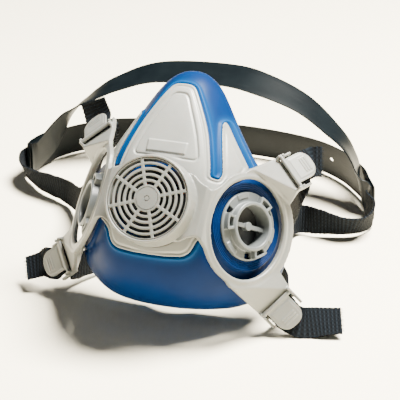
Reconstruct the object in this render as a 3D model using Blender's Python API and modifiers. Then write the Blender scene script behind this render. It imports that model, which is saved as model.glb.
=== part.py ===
"""Half-mask respirator: elastomer facepiece, rigid shell, harness yoke, valves, buckles and head harness.

Metres, +Z up. The mask looks towards -Y and leans back on its chin; the head harness lies behind it.
"""

from math import asin, atan2, cos, pi, radians, sin

import bmesh
import bpy
from mathutils import Matrix, Vector

MM = 0.001

# Where the mask stands, in metres and radians
MASK_PLACE = Vector((36.3, -143, 94.9)) * MM
MASK_LEAN = radians(32.5)
YOKE_ROLL = radians(3.8)

# Layers of the front, in millimetres behind the rim of the valve cover
SKIN_FRONT = 16.5
SKIN_THICKNESS = 2.6
SKIN_LEVELS = 1
SHELL_GAP = 0.3
SHELL_THICKNESS = 1.3
CLEARANCE = 0.3

# Facets of round shapes and samples along the straps
ROUND_STEPS = 28
CUP_STEPS = 40
STRAP_SAMPLES = 3
BAND_SAMPLES = 3

# Inlet ports and the ring openings of the yoke
PORT_AZIMUTH = radians(57.6)
PORT_ELEVATION = radians(2.7)
RING_CENTRE = Vector((51.5, 41.0, -1.4))
RING_OPENING = (28.5, 30.0)
RING_OUTER = 36.3
RING_INNER = 33.8
PLATE_THICKNESS = 3.0
PLATE_FRONT = 0.0
JOIN = 0.2
# Webs of the arms: (angle, radius) on the ring and the corners of the fork that each web reaches
ARM_WEBS = {
    "upper": ((((100, 35.9), (70, 35.9), (38, 35.9)), (-1, 1)),),
    "lower": ((((-95, 35.9), (-62, 35.9), (-30, 35.9)), (-1, 1)),
              (((-130, 33.0), (-112, 33.6), (-88, 35.2)), (0.97, 0.4))),
}
PORT_FACE = -5.2
PORT_FLOOR = 3.0
PORT_BORE = 16.3
BOSS_RADIUS = 26.6

# Connectors
CONNECTOR_SHIFT = (2.1, -1.0)
TUBE_RADIUS = 14.6
TUBE_BORE = 12.4
FLANGE_RADIUS = 20.6
LUG_START = 62.0

# Exhalation valve
CUP_RADIUS = 26.2
CUP_BORE = 24.6
VALVE_BORE = 13.5
SEAT_NECK = 17.5
COVER_RADIUS = 24.2
COVER_THICKNESS = 2.0
COVER_SLOTS = (9.0, 12.4, 15.9, 19.4, 22.7)
COVER_SLOT_WIDTH = 1.9
COVER_SPOKE = 0.9
COVER_SPOKES = 8

# Buckles of the right side: the two ends of each bar and the way its fork points, seen from the yoke
BUCKLE_WIDTH = 24.2
RAIL = 1.7
RAIL_LENGTH = 12.0
LEVER_LENGTH = 18.5
LEVER_WIDTH = 17.0
HINGE_AT = (1.0, 3.8)
STRAP_BAR_AT = (5.0, -0.6)
BUCKLES = {
    "upper": (Vector((53.9, 56.0, 44.2)), Vector((69.4, 59.0, 29.9)), Vector((0.44, 0.74, 0.50))),
    "lower": (Vector((74.0, 73.2, -28.2)), Vector((62.2, 72.2, -45.8)), Vector((0.70, 0.50, -0.37))),
}
LEVER_TILT = {"upper": radians(5), "lower": radians(8)}

# Harness
WEBBING_WIDTH = 18.8
WEBBING_THICKNESS = 1.4
BAND_WIDTH = 24.0
BAND_THICKNESS = 1.6
EYELET_PLACE = Vector((65.3, 136.5, 14.7))
EYELET_RADIUS = 1.3

CLASP_PLACE = Vector((36.3, -21.2, 13.9))
CLASP_HALF_HEIGHT = 12.2
CLASP_HALF_THICKNESS = 1.1
CLASP_ENDS = (2.0, 15.0)
CLASP_SLOT = (9.2, 12.4)
HOOK_WIDTH = 14.0

SIDE_NAMES = {1: "right", -1: "left"}

COLOURS = {
    "silicone_blue": ((0.010, 0.085, 0.31, 1), 0.35),
    "shell_grey": ((0.66, 0.67, 0.65, 1), 0.4),
    "yoke_grey": ((0.68, 0.69, 0.66, 1), 0.45),
    "connector_grey": ((0.40, 0.44, 0.46, 1), 0.4),
    "valve_rubber": ((0.03, 0.03, 0.035, 1), 0.5),
    "webbing_black": ((0.008, 0.010, 0.016, 1), 0.9),
    "band_black": ((0.010, 0.012, 0.013, 1), 0.25),
}


# ---------------------------------------------------------------- scene, collections, materials

def clear_scene():
    for item in list(bpy.data.objects):
        bpy.data.objects.remove(item, do_unlink=True)


def collection(name):
    made = bpy.data.collections.new(name)
    bpy.context.scene.collection.children.link(made)
    return made


def material(name):
    found = bpy.data.materials.get(name)
    if found:
        return found
    colour, roughness = COLOURS[name]
    made = bpy.data.materials.new(name)
    made.use_nodes = True
    shader = made.node_tree.nodes["Principled BSDF"]
    shader.inputs["Base Color"].default_value = colour
    shader.inputs["Roughness"].default_value = roughness
    shader.inputs["Metallic"].default_value = 0.0
    return made


clear_scene()
PARTS = collection("respirator")
CUTTERS = collection("cutters")


def frame_empty(name, matrix):
    empty = bpy.data.objects.new(name, None)
    PARTS.objects.link(empty)
    empty.matrix_world = matrix
    return empty


def finish_mesh(name, mesh, frame, slot, cutter=False):
    """An object from a mesh in millimetres, placed by its frame empty."""
    mesh.transform(Matrix.Scale(MM, 4))
    item = bpy.data.objects.new(name, mesh)
    if cutter:
        CUTTERS.objects.link(item)
        item.hide_render = True
        item.display_type = "WIRE"
    else:
        PARTS.objects.link(item)
        item.data.materials.append(material(slot))
    if frame is not None:
        item.parent = frame
    mesh.shade_smooth()
    mesh.set_sharp_from_angle(angle=radians(35))
    return item


def mesh_from(name, bm):
    bmesh.ops.recalc_face_normals(bm, faces=bm.faces[:])
    mesh = bpy.data.meshes.new(name)
    bm.to_mesh(mesh)
    bm.free()
    return mesh


def boolean(item, other, operation):
    made = item.modifiers.new(operation.lower() + "_" + other.name, "BOOLEAN")
    made.operation = operation
    made.solver = "EXACT"
    made.object = other


# ---------------------------------------------------------------- frames

def mask_matrix():
    return Matrix.Translation(MASK_PLACE) @ Matrix.Rotation(-MASK_LEAN, 4, "X")


def yoke_matrix():
    return mask_matrix() @ Matrix.Rotation(YOKE_ROLL, 4, "Y")


def front_frame(base):
    """Local +Z points out of the front of the mask."""
    turn = Matrix(((1, 0, 0), (0, 0, -1), (0, 1, 0))).to_4x4()
    return base @ turn


def port_frame(base, side, shift=(0.0, 0.0)):
    """Local +Z points out of the port on that side; local X runs back from the nose, times the side."""
    out = Vector((side * sin(PORT_AZIMUTH) * cos(PORT_ELEVATION),
                  -cos(PORT_AZIMUTH) * cos(PORT_ELEVATION),
                  sin(PORT_ELEVATION)))
    along = Vector((cos(PORT_AZIMUTH), side * sin(PORT_AZIMUTH), 0.0))
    up = out.cross(along)
    centre = Vector((side * RING_CENTRE.x, RING_CENTRE.y, RING_CENTRE.z))
    centre += side * shift[0] * along + shift[1] * up
    turn = Matrix((along, up, out)).transposed().to_4x4()
    return base @ Matrix.Translation(centre * MM) @ turn


def buckle_frame(level, side):
    """Local X runs along the bar, local Y out of the arm, local +Z away from the face."""
    first, second, out = BUCKLES[level]
    middle = (first + second) / 2
    along = (second - first).normalized()
    out = (out - along * out.dot(along)).normalized()
    if side < 0:
        mirror = Matrix.Scale(-1, 3, (1, 0, 0))
        middle, along, out = mirror @ middle, mirror @ -along, mirror @ out
    turn = Matrix((along, out, along.cross(out))).transposed().to_4x4()
    return yoke_matrix() @ Matrix.Translation(middle * MM) @ turn


def in_world(frame, x, y, z):
    """World millimetres of a point given in a frame's millimetres."""
    return (frame.matrix_world @ (Vector((x, y, z)) * MM)) / MM


# ---------------------------------------------------------------- shape helpers

def turned(name, profile, frame, slot, steps=ROUND_STEPS, cutter=False):
    """A closed profile of (radius, height) points turned about the frame's Z axis."""
    area = sum(a[0] * b[1] - b[0] * a[1] for a, b in zip(profile, profile[1:] + profile[:1]))
    if area > 0:
        profile = profile[::-1]
    bm = bmesh.new()
    ring = [bm.verts.new((r, 0.0, z)) for r, z in profile]
    for first, second in zip(ring, ring[1:] + ring[:1]):
        bm.edges.new((first, second))
    mesh = bpy.data.meshes.new(name)
    bm.to_mesh(mesh)
    bm.free()
    item = finish_mesh(name, mesh, frame, slot, cutter)
    turn = item.modifiers.new("turn", "SCREW")
    turn.axis = "Z"
    turn.angle = 2 * pi
    turn.steps = steps
    turn.render_steps = steps
    turn.use_merge_vertices = True
    turn.merge_threshold = 0.00001
    return item


def disc(name, radius, low, high, frame, steps=ROUND_STEPS):
    """A round cutter from low to high."""
    bm = bmesh.new()
    place = Matrix.Translation((0, 0, (low + high) / 2))
    bmesh.ops.create_cone(bm, cap_ends=True, segments=steps, radius1=radius, radius2=radius,
                          depth=high - low, matrix=place)
    return finish_mesh(name, mesh_from(name, bm), frame, None, True)


def block(name, low, high, frame):
    """A box cutter between two corners."""
    bm = bmesh.new()
    size = [b - a for a, b in zip(low, high)]
    middle = [(a + b) / 2 for a, b in zip(low, high)]
    place = Matrix.Translation(middle) @ Matrix.Diagonal((*size, 1.0))
    bmesh.ops.create_cube(bm, size=1.0, matrix=place)
    return finish_mesh(name, mesh_from(name, bm), frame, None, True)


def flat(name, outlines, low, high, frame, slot, cutter=False):
    """A flat outline, with any holes, extruded from low to high."""
    curve = bpy.data.curves.new(name, "CURVE")
    curve.dimensions = "2D"
    curve.fill_mode = "BOTH"
    curve.extrude = (high - low) / 2
    for outline in outlines:
        spline = curve.splines.new("POLY")
        spline.points.add(len(outline) - 1)
        for point, (x, y) in zip(spline.points, outline):
            point.co = (x, y, 0.0, 1.0)
        spline.use_cyclic_u = True
    carrier = bpy.data.objects.new(name + "_outline", curve)
    CUTTERS.objects.link(carrier)
    bpy.context.view_layer.update()
    graph = bpy.context.evaluated_depsgraph_get()
    mesh = bpy.data.meshes.new_from_object(carrier.evaluated_get(graph))
    bpy.data.objects.remove(carrier, do_unlink=True)
    bm = bmesh.new()
    bm.from_mesh(mesh)
    bpy.data.meshes.remove(mesh)
    bmesh.ops.remove_doubles(bm, verts=bm.verts[:], dist=1e-4)
    bmesh.ops.translate(bm, verts=bm.verts[:], vec=(0, 0, (low + high) / 2))
    return finish_mesh(name, mesh_from(name, bm), frame, slot, cutter)


def bevelled(item, width):
    """Rounds the sharp edges of an item, width in millimetres."""
    made = item.modifiers.new("round", "BEVEL")
    made.width = width * MM
    made.segments = 1
    made.limit_method = "ANGLE"
    made.angle_limit = radians(40)
    return item


def arc(radius, start, end, count, centre=(0.0, 0.0)):
    """Points on an arc, angles in degrees."""
    points = []
    for i in range(count + 1):
        angle = radians(start + (end - start) * i / count)
        points.append((centre[0] + radius * cos(angle), centre[1] + radius * sin(angle)))
    return points


def smooth_path(stations, per_span):
    """Catmull-Rom samples through stations, each a tuple of vectors."""
    samples = []
    last = len(stations) - 1
    for i in range(last):
        ring = [stations[max(i - 1, 0)], stations[i], stations[i + 1], stations[min(i + 2, last)]]
        for k in range(per_span):
            t = k / per_span
            weights = (
                (-t + 2 * t * t - t ** 3) / 2,
                (2 - 5 * t * t + 3 * t ** 3) / 2,
                (t + 4 * t * t - 3 * t ** 3) / 2,
                (-t * t + t ** 3) / 2,
            )
            samples.append(tuple(
                sum((w * Vector(s[j]) for w, s in zip(weights, ring)), Vector())
                for j in range(len(ring[0]))
            ))
    samples.append(tuple(Vector(v) for v in stations[last]))
    return samples


def ribbon(name, stations, width, thickness, slot, per_span):
    """A flat strip swept through (centre, across) stations given in world millimetres."""
    samples = smooth_path(stations, per_span)
    bm = bmesh.new()
    rings = []
    for i, (centre, across) in enumerate(samples):
        before = samples[max(i - 1, 0)][0]
        after = samples[min(i + 1, len(samples) - 1)][0]
        ahead = (after - before).normalized()
        side = (across - ahead * across.dot(ahead)).normalized() * width / 2
        up = ahead.cross(side).normalized() * thickness / 2
        corners = (centre - side - up, centre + side - up, centre + side + up, centre - side + up)
        rings.append([bm.verts.new(c) for c in corners])
    for first, second in zip(rings, rings[1:]):
        for k in range(4):
            bm.faces.new((first[k], first[(k + 1) % 4], second[(k + 1) % 4], second[k]))
    bm.faces.new(rings[0])
    bm.faces.new(rings[-1])
    return finish_mesh(name, mesh_from(name, bm), None, slot)


# ---------------------------------------------------------------- facepiece

# Half of the skin's cage, from the nose to the chin: centre line, front corner, cheek, side and rim
SKIN_CAGE = (
    ((0, 52, 89.5), (4.5, 52, 89), (8.5, 52, 87), (11.5, 52, 84), (13.5, 52, 81)),
    ((0, 36, 85.5), (7, 36.5, 84.5), (12.5, 39, 82.5), (17, 43, 80), (20.5, 49.5, 77)),
    ((0, 25.5, 68.5), (10.5, 26.5, 67.5), (18, 32.5, 65), (25, 41, 63.5), (30.5, 50, 62)),
    ((0, 20.5, 47), (17.5, 21.5, 46.5), (27, 31, 46), (34, 42, 46), (41, 54, 45)),
    ((0, 17.0, 28), (23, 18, 28), (34.5, 28, 28), (45, 46, 28), (54, 64, 29)),
    ((0, 16.5, 8), (27.5, 17, 8), (39.5, 30.5, 8), (56, 58.5, 8), (66, 78, 9)),
    ((0, 16.5, -12), (28, 17, -12), (40, 31, -12), (58.5, 60, -12), (69, 83, -11)),
    ((0, 19, -30), (26, 20, -30), (40.5, 32.5, -30.5), (58, 59, -31), (66.5, 85, -29)),
    ((0, 29, -47.5), (21, 30.5, -47), (36, 41, -45.5), (49.5, 61, -43), (56, 85, -41)),
    ((0, 46, -56.5), (17, 46.5, -56), (29.5, 53, -54.5), (39, 68, -51.5), (43, 85, -48)),
    ((0, 66, -56), (11, 66, -55.7), (19, 69, -54.5), (26, 77, -52), (29, 84.5, -49.5)),
    ((0, 80, -52.5), (5, 80.5, -52.3), (10, 81.5, -52), (14, 83, -51.5), (18, 84.5, -50.5)),
)
LIP_CENTRE = Vector((0, 66, 0))


def skin_sheet():
    """The open outer skin of the facepiece, smooth, in millimetres."""
    bm = bmesh.new()
    rows = []
    for row in SKIN_CAGE:
        left = [(-x, y, z) for x, y, z in row[:0:-1]]
        rows.append([bm.verts.new(p) for p in left + list(row)])
    for upper, lower in zip(rows, rows[1:]):
        for k in range(len(upper) - 1):
            bm.faces.new((upper[k], upper[k + 1], lower[k + 1], lower[k]))
    return bm


def add_lip(bm):
    """Two turns of the rim towards the face, which make the soft sealing edge."""
    for pull, back in ((0.10, 4.0), (0.16, -1.0)):
        edges = [e for e in bm.edges if e.is_boundary]
        made = bmesh.ops.extrude_edge_only(bm, edges=edges)
        for v in made["geom"]:
            if isinstance(v, bmesh.types.BMVert):
                inward = LIP_CENTRE - v.co
                inward.y = 0
                v.co += inward * pull
                v.co.y += back


def boss_profile(bore, face, floor, outer, skirt):
    """A flat ring around a bore, with a skirt that runs back into the skin."""
    low = face - floor
    return [(bore, face), (bore, low), (outer - 3.6, low), (outer - 2.6, low - skirt), (outer, low - skirt),
            (outer, face - 1.0), (outer - 1.0, face)]


def facepiece(mask, front, ports):
    bm = skin_sheet()
    add_lip(bm)
    bmesh.ops.recalc_face_normals(bm, faces=bm.faces[:])
    mesh = bpy.data.meshes.new("facepiece")
    bm.to_mesh(mesh)
    bm.free()
    item = finish_mesh("facepiece", mesh, mask, "silicone_blue")
    smooth = item.modifiers.new("smooth", "SUBSURF")
    smooth.levels = SKIN_LEVELS
    smooth.render_levels = SKIN_LEVELS
    wall = item.modifiers.new("wall", "SOLIDIFY")
    wall.thickness = SKIN_THICKNESS * MM
    wall.offset = -1.0
    bosses = [("valve", front, SEAT_NECK + CLEARANCE, -SKIN_FRONT, SKIN_THICKNESS, 25.4, 5.0)]
    for side, frame in ports.items():
        bosses.append(("port_" + SIDE_NAMES[side], frame, PORT_BORE, PORT_FACE, PORT_FLOOR, BOSS_RADIUS, 8.0))
    for tag, frame, bore, face, floor, outer, skirt in bosses:
        hole = disc(tag + "_hole", outer - 1.3, face - 20.0, face + 12.0, frame)
        boolean(item, hole, "DIFFERENCE")
        boss = turned(tag + "_boss", boss_profile(bore, face, floor, outer, skirt), frame, None, cutter=True)
        boolean(item, boss, "UNION")
    return item


# ---------------------------------------------------------------- rigid shell

def mirrored(half):
    """A closed outline from its right half, listed from top to bottom."""
    return list(half) + [(-x, y) for x, y in reversed(half) if abs(x) > 1e-6]


# Right half of the shell seen from the front: nose panel, notch for the rib, side window, chin pocket
SHELL_HALF = ((0, 75.4), (4.5, 75.2), (7.4, 73.4), (10.4, 68.6), (13.3, 63.5), (16.6, 57.2), (19.5, 51.2),
              (22.1, 45), (24.0, 39), (25.8, 33), (27.4, 27), (28.6, 20), (33.4, 19.4), (34.2, 24), (32.4, 32),
              (30.2, 40), (27.9, 48), (26.2, 55), (27.0, 57), (29.4, 54), (34.4, 46), (39.4, 38.5), (43.6, 32),
              (42.6, 24), (40, 19), (36, 13), (36, -12), (31, -15), (27.6, -18.5),
              (26, -23.2), (24, -26.4), (20.3, -28.7), (11, -29.9), (0, -30.2))


def nose_shell(mask, front, ports):
    bm = skin_sheet()
    bmesh.ops.recalc_face_normals(bm, faces=bm.faces[:])
    mesh = bpy.data.meshes.new("nose_shell")
    bm.to_mesh(mesh)
    bm.free()
    item = finish_mesh("nose_shell", mesh, mask, "shell_grey")
    smooth = item.modifiers.new("smooth", "SUBSURF")
    smooth.levels = SKIN_LEVELS
    smooth.render_levels = SKIN_LEVELS
    wall = item.modifiers.new("wall", "SOLIDIFY")
    wall.thickness = SHELL_THICKNESS * MM
    wall.offset = 1.0 + 2.0 * SHELL_GAP / SHELL_THICKNESS
    outline = flat("shell_outline", [mirrored(SHELL_HALF)], -62.0, 0.0, front, None, cutter=True)
    boolean(item, outline, "INTERSECT")
    hole = disc("shell_hole", 25.8, -30.0, -8.0, front)
    boolean(item, hole, "DIFFERENCE")
    for side, frame in ports.items():
        recess = disc("shell_recess_" + SIDE_NAMES[side], BOSS_RADIUS + 0.6, PORT_FACE - 24.0,
                      PORT_FACE + 8.0, frame)
        boolean(item, recess, "DIFFERENCE")
    return item


# ---------------------------------------------------------------- valves

def spider(item, tag, frame, radius, low, high, hub, stem, width=1.6):
    """Two crossed bars and a hub inside a bore, with a hole for a stem."""
    for k, (x, y) in enumerate(((radius, width / 2), (width / 2, radius))):
        bar = block(f"{tag}_bar_{k}", (-x, -y, low), (x, y, high), frame)
        boolean(item, bar, "UNION")
    boolean(item, disc(tag + "_hub", hub, low - 0.3, high + 0.3, frame, 16), "UNION")
    boolean(item, disc(tag + "_stem_hole", stem, low - 3.0, high + 3.0, frame, 12), "DIFFERENCE")


def exhalation_valve(front):
    back = -SKIN_FRONT - SKIN_THICKNESS - CLEARANCE
    face = -SKIN_FRONT + CLEARANCE
    seat = turned("exhalation_valve_seat", [
        (VALVE_BORE, face + 1.6), (VALVE_BORE, back - 1.4), (20.5, back - 1.4), (20.5, back),
        (SEAT_NECK, back), (SEAT_NECK, face), (22.0, face), (22.0, face + 1.2),
        (17.0, face + 1.2), (16.6, face + 2.6), (15.2, face + 2.6), (14.6, face + 1.6)], front, "shell_grey")
    spider(seat, "seat", front, VALVE_BORE + 0.8, face - 0.4, face + 1.2, 3.6, 1.7)
    turned("exhalation_valve_flap", [
        (0.0, face + 4.4), (3.0, face + 4.4), (16.4, face + 3.6), (16.4, face + 2.9), (3.0, face + 3.4),
        (1.3, face + 3.0), (1.3, face - 2.5), (0.0, face - 2.5)], front, "valve_rubber")


def cover_grille(front):
    """Concentric slots between spokes, on a polar grid whose spokes keep one width."""
    half = COVER_SLOT_WIDTH / 2
    radii = [COVER_SLOTS[0] - half - 0.9]
    for middle in COVER_SLOTS:
        radii += [middle - half, middle + half]
    radii.append(COVER_RADIUS)
    steps = 3
    bm = bmesh.new()
    rings = []
    for r in radii:
        ring = []
        for spoke in range(COVER_SPOKES):
            base = 2 * pi * (spoke + 0.5) / COVER_SPOKES
            edge = asin(COVER_SPOKE / r)
            sector = 2 * pi / COVER_SPOKES - 2 * edge
            for k in range(steps + 1):
                angle = base + edge + sector * k / steps
                ring.append((r * cos(angle), r * sin(angle)))
        rings.append(ring)
    top = [[bm.verts.new((x, y, 0.0)) for x, y in ring] for ring in rings]
    count = len(rings[0])
    bm.faces.new(top[0])
    for i in range(len(radii) - 1):
        slot = i % 2 == 1 and i < len(radii) - 2
        for k in range(count):
            on_spoke = k % (steps + 1) == steps
            if slot and not on_spoke:
                continue
            after = (k + 1) % count
            bm.faces.new((top[i][k], top[i][after], top[i + 1][after], top[i + 1][k]))
    bmesh.ops.recalc_face_normals(bm, faces=bm.faces[:])
    mesh = bpy.data.meshes.new("exhalation_cover")
    bm.to_mesh(mesh)
    bm.free()
    item = finish_mesh("exhalation_cover", mesh, front, "yoke_grey")
    item.location.z = -0.7 * MM
    wall = item.modifiers.new("thickness", "SOLIDIFY")
    wall.thickness = COVER_THICKNESS * MM
    wall.offset = -1.0
    return item


# ---------------------------------------------------------------- inlet connectors

def inlet_connector(name, frame):
    """Bayonet connector: flange, tube, three lugs and the cross bar that holds the valve flap."""
    low = PORT_FACE - PORT_FLOOR
    top = PORT_FACE + CLEARANCE
    item = turned(name, [
        (TUBE_BORE, 1.4), (TUBE_BORE + 0.5, 1.9), (TUBE_RADIUS - 0.5, 1.9), (TUBE_RADIUS, 1.4),
        (TUBE_RADIUS, top + 1.9), (FLANGE_RADIUS - 0.6, top + 1.9), (FLANGE_RADIUS, top + 1.3),
        (FLANGE_RADIUS, top), (PORT_BORE - CLEARANCE, top), (PORT_BORE - CLEARANCE, low - CLEARANCE),
        (18.6, low - CLEARANCE), (18.6, low - 1.7), (TUBE_BORE, low - 1.7)], frame, "connector_grey")
    for k in range(3):
        angle = LUG_START + 120.0 * k
        outline = arc(TUBE_RADIUS - 0.6, angle - 11, angle + 11, 4) + arc(17.4, angle + 11, angle - 11, 4)
        lug = flat(f"{name}_lug_{k}", [outline], top + 1.0, 0.2, frame, None, cutter=True)
        boolean(item, lug, "UNION")
    bar = block(name + "_bar", (-TUBE_BORE - 0.5, -1.3, -6.0), (TUBE_BORE + 0.5, 1.3, -3.4), frame)
    boolean(item, bar, "UNION")
    boolean(item, disc(name + "_nub", 2.6, -6.4, -2.6, frame, 16), "UNION")
    boolean(item, disc(name + "_stem_hole", 1.6, -9.0, -3.6, frame, 12), "DIFFERENCE")
    return item


def inhalation_flap(name, frame):
    low = PORT_FACE - PORT_FLOOR - 1.7
    return turned(name, [
        (0.0, -4.2), (1.2, -4.2), (1.2, low - 0.4), (3.0, low - 0.3), (14.0, low - 0.3), (14.0, low - 1.0),
        (3.0, low - 1.2), (0.0, low - 1.2)], frame, "valve_rubber")


# ---------------------------------------------------------------- yoke

def hull(name, points):
    """The convex solid around points given in world millimetres."""
    bm = bmesh.new()
    verts = [bm.verts.new(p) for p in points]
    bmesh.ops.convex_hull(bm, input=verts)
    loose = [v for v in bm.verts if not v.link_faces]
    bmesh.ops.delete(bm, geom=loose, context="VERTS")
    return finish_mesh(name, mesh_from(name, bm), None, None, True)


def ring_outline(side):
    """One ring of the yoke with its neck, in the plane of the ring."""
    points = [(-33.6, 15.4), (-30.6, 16.4), (-26.6, 19.6)]
    points += arc(RING_INNER, 131, 108, 4)
    points += arc(RING_OUTER, 100, -95, 20)
    points += arc(RING_INNER, -104, -146, 6)
    points += [(-33.6, -14.6)]
    return [(side * x, y) for x, y in points]


def neck(side, front, base, ring):
    """The bend between the bridge and a ring."""
    points = []
    for y in (JOIN - 14.6, 15.4 - JOIN):
        for z in (base + JOIN, base + PLATE_THICKNESS - JOIN):
            for x in (28.2, 30.2):
                points.append(in_world(front, side * x, y, z))
        for z in (PLATE_FRONT - PLATE_THICKNESS + JOIN, PLATE_FRONT - JOIN):
            for x in (-33.3, -31.6):
                points.append(in_world(ring, side * x, y, z))
    return hull("yoke_neck_" + SIDE_NAMES[side], points)


def arm(tag, ring, side, span, fork, ends, inset):
    """A twisted web between a stretch of the ring and one or both corners of the fork's root."""
    half = PLATE_THICKNESS / 2
    points = []
    for angle, radius in span:
        for z in (PLATE_FRONT - PLATE_THICKNESS + inset, PLATE_FRONT - inset):
            turn = radians(angle)
            points.append(in_world(ring, side * radius * cos(turn), radius * sin(turn), z))
    for x in ends:
        for z in (inset - half, half - inset):
            for y in (-1.5, 0.9):
                points.append(in_world(fork, side * x * (BUCKLE_WIDTH / 2 - inset), y, z))
    return hull("yoke_arm_" + tag, points)


def yoke(front, frames, buckles):
    base = -SKIN_FRONT + SHELL_GAP + SHELL_THICKNESS + CLEARANCE
    item = turned("yoke", [
        (CUP_BORE, -0.5), (CUP_BORE + 0.4, 0.0), (CUP_RADIUS - 0.6, 0.0), (CUP_RADIUS, -0.7),
        (CUP_RADIUS + 0.5, base + 3.0), (CUP_RADIUS + 0.5, base), (CUP_BORE, base),
        (CUP_BORE, -5.0), (22.9, -5.0), (22.9, -3.1), (CUP_BORE, -3.1)], front, "yoke_grey", CUP_STEPS)
    curve = [(30.5, 15.4), (27.5, 16.2), (24.5, 17.8), (21.5, 20.2), (18.5, 21.0)]
    top = [(-x, y) for x, y in curve] + curve[::-1]
    low = [(x, 0.7 - y) for x, y in top[::-1]]
    bridge = flat("yoke_bridge", [top + low], base, base + PLATE_THICKNESS, front, None, True)
    hole = disc("yoke_bridge_hole", CUP_BORE + 0.6, base - 5, base + 9, front, CUP_STEPS)
    boolean(bridge, hole, "DIFFERENCE")
    boolean(item, bridge, "UNION")
    half = PLATE_THICKNESS / 2
    for side, frame in frames.items():
        opening = [(side * x * RING_OPENING[0], y * RING_OPENING[1]) for x, y in arc(1.0, 0, 350, 35)]
        plate = flat("yoke_plate_" + SIDE_NAMES[side], [ring_outline(side), opening],
                     PLATE_FRONT - PLATE_THICKNESS, PLATE_FRONT, frame, None, True)
        boolean(item, plate, "UNION")
        boolean(item, neck(side, front, base, frame), "UNION")
    inner = BUCKLE_WIDTH / 2 - RAIL
    outer = BUCKLE_WIDTH / 2
    for (level, side), frame in buckles.items():
        tag = level + "_" + SIDE_NAMES[side]
        webs = [arm(f"{tag}_{k}", frames[side], side, span, frame, ends, JOIN * (1 + k))
                for k, (span, ends) in enumerate(ARM_WEBS[level])]
        for web in webs[1:]:
            boolean(webs[0], web, "UNION")
        prongs = [(-outer, -2.2), (outer, -2.2), (outer, RAIL_LENGTH), (inner, RAIL_LENGTH),
                  (inner, 1.4), (-inner, 1.4), (-inner, RAIL_LENGTH), (-outer, RAIL_LENGTH)]
        fork = flat("fork_" + tag, [prongs], -half, half, frame, None, True)
        for x in (-1, 1):
            low_x, high_x = sorted((x * (inner + 0.05), x * (outer - 0.05)))
            ear = block(f"ear_{tag}_{x + 1}", (low_x, -1.4, half - 0.4), (high_x, 3.6, 5.4), frame)
            boolean(fork, ear, "UNION")
        boolean(fork, across_bar("hinge_hole_" + tag, 1.5, outer + 1.0, HINGE_AT, frame), "DIFFERENCE")
        boolean(fork, across_bar("strap_bar_" + tag, 1.3, inner + 0.6, STRAP_BAR_AT, frame), "UNION")
        boolean(webs[0], fork, "UNION")
        boolean(item, webs[0], "UNION")
    return item


# ---------------------------------------------------------------- buckle levers


def across_bar(name, radius, half_length, at, frame):
    """A round bar along the buckle's X axis at (y, z)."""
    bm = bmesh.new()
    place = Matrix.Translation((0, at[0], at[1])) @ Matrix.Rotation(pi / 2, 4, "Y")
    bmesh.ops.create_cone(bm, cap_ends=True, segments=12, radius1=radius, radius2=radius,
                          depth=2 * half_length, matrix=place)
    return finish_mesh(name, mesh_from(name, bm), frame, None, True)


def lever(name, frame, tilt):
    """Cam lever: a D-shaped plate on two trunnions, modelled about its hinge."""
    place = Matrix.Translation(Vector((0, HINGE_AT[0], HINGE_AT[1])) * MM)
    hinge = frame_empty(name + "_hinge", frame.matrix_world @ place @ Matrix.Rotation(tilt, 4, "X"))
    half = LEVER_WIDTH / 2
    end = LEVER_LENGTH - HINGE_AT[0]
    outline = [(-half, -1.1), (half, -1.1), (half, end - 7.0)]
    outline += arc(7.0, 15, 90, 5, (half - 7.0, end - 7.0))
    outline += arc(7.0, 90, 165, 5, (7.0 - half, end - 7.0))
    outline += [(-half, end - 7.0)]
    item = flat(name, [outline], -0.8, 0.8, hinge, "yoke_grey")
    trunnion = across_bar(name + "_trunnion", 1.2, BUCKLE_WIDTH / 2 - 0.2, (0.0, 0.0), hinge)
    boolean(item, trunnion, "UNION")
    return item


# ---------------------------------------------------------------- neck clasp

def rectangle(x0, x1, y0, y1):
    return [(x0, y0), (x1, y0), (x1, y1), (x0, y1)]


def clasp_loop(frame):
    """Left half: a slot for the strap and an opening that takes the hook."""
    inner, outer = CLASP_ENDS
    high = CLASP_HALF_HEIGHT
    body = rectangle(-outer, -inner, -high, high)
    slot = rectangle(-CLASP_SLOT[1], -CLASP_SLOT[0], 2.0 - high, high - 2.0)
    window = rectangle(-7.4, -3.8, -HOOK_WIDTH / 2 - 1.0, HOOK_WIDTH / 2 + 1.0)
    item = flat("neck_clasp_loop", [body, slot, window], -CLASP_HALF_THICKNESS, CLASP_HALF_THICKNESS,
                frame, "yoke_grey")
    return bevelled(item, 0.4)


def clasp_hook(frame):
    """Right half: a slot for the strap and a tongue that reaches over and hooks into the loop."""
    inner, outer = CLASP_ENDS
    high = CLASP_HALF_HEIGHT
    half = HOOK_WIDTH / 2
    thick = CLASP_HALF_THICKNESS
    body = rectangle(inner, outer, -high, high)
    slot = rectangle(CLASP_SLOT[0], CLASP_SLOT[1], 2.0 - high, high - 2.0)
    item = flat("neck_clasp_hook", [body, slot], -thick, thick, frame, "yoke_grey")
    bevelled(item, 0.4)
    pieces = (("tongue", (-6.6, -half, thick + CLEARANCE), (6.4, half, thick + CLEARANCE + 1.5)),
              ("root", (2.4, -half, 0.4), (6.4, half, thick + CLEARANCE + 0.6)),
              ("tip", (-6.6, -half, -thick - 0.9), (-4.8, half, thick + CLEARANCE + 0.6)))
    for tag, low, top in pieces:
        boolean(item, block("clasp_" + tag, low, top, frame), "UNION")
    return item


# ---------------------------------------------------------------- straps and bands

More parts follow.
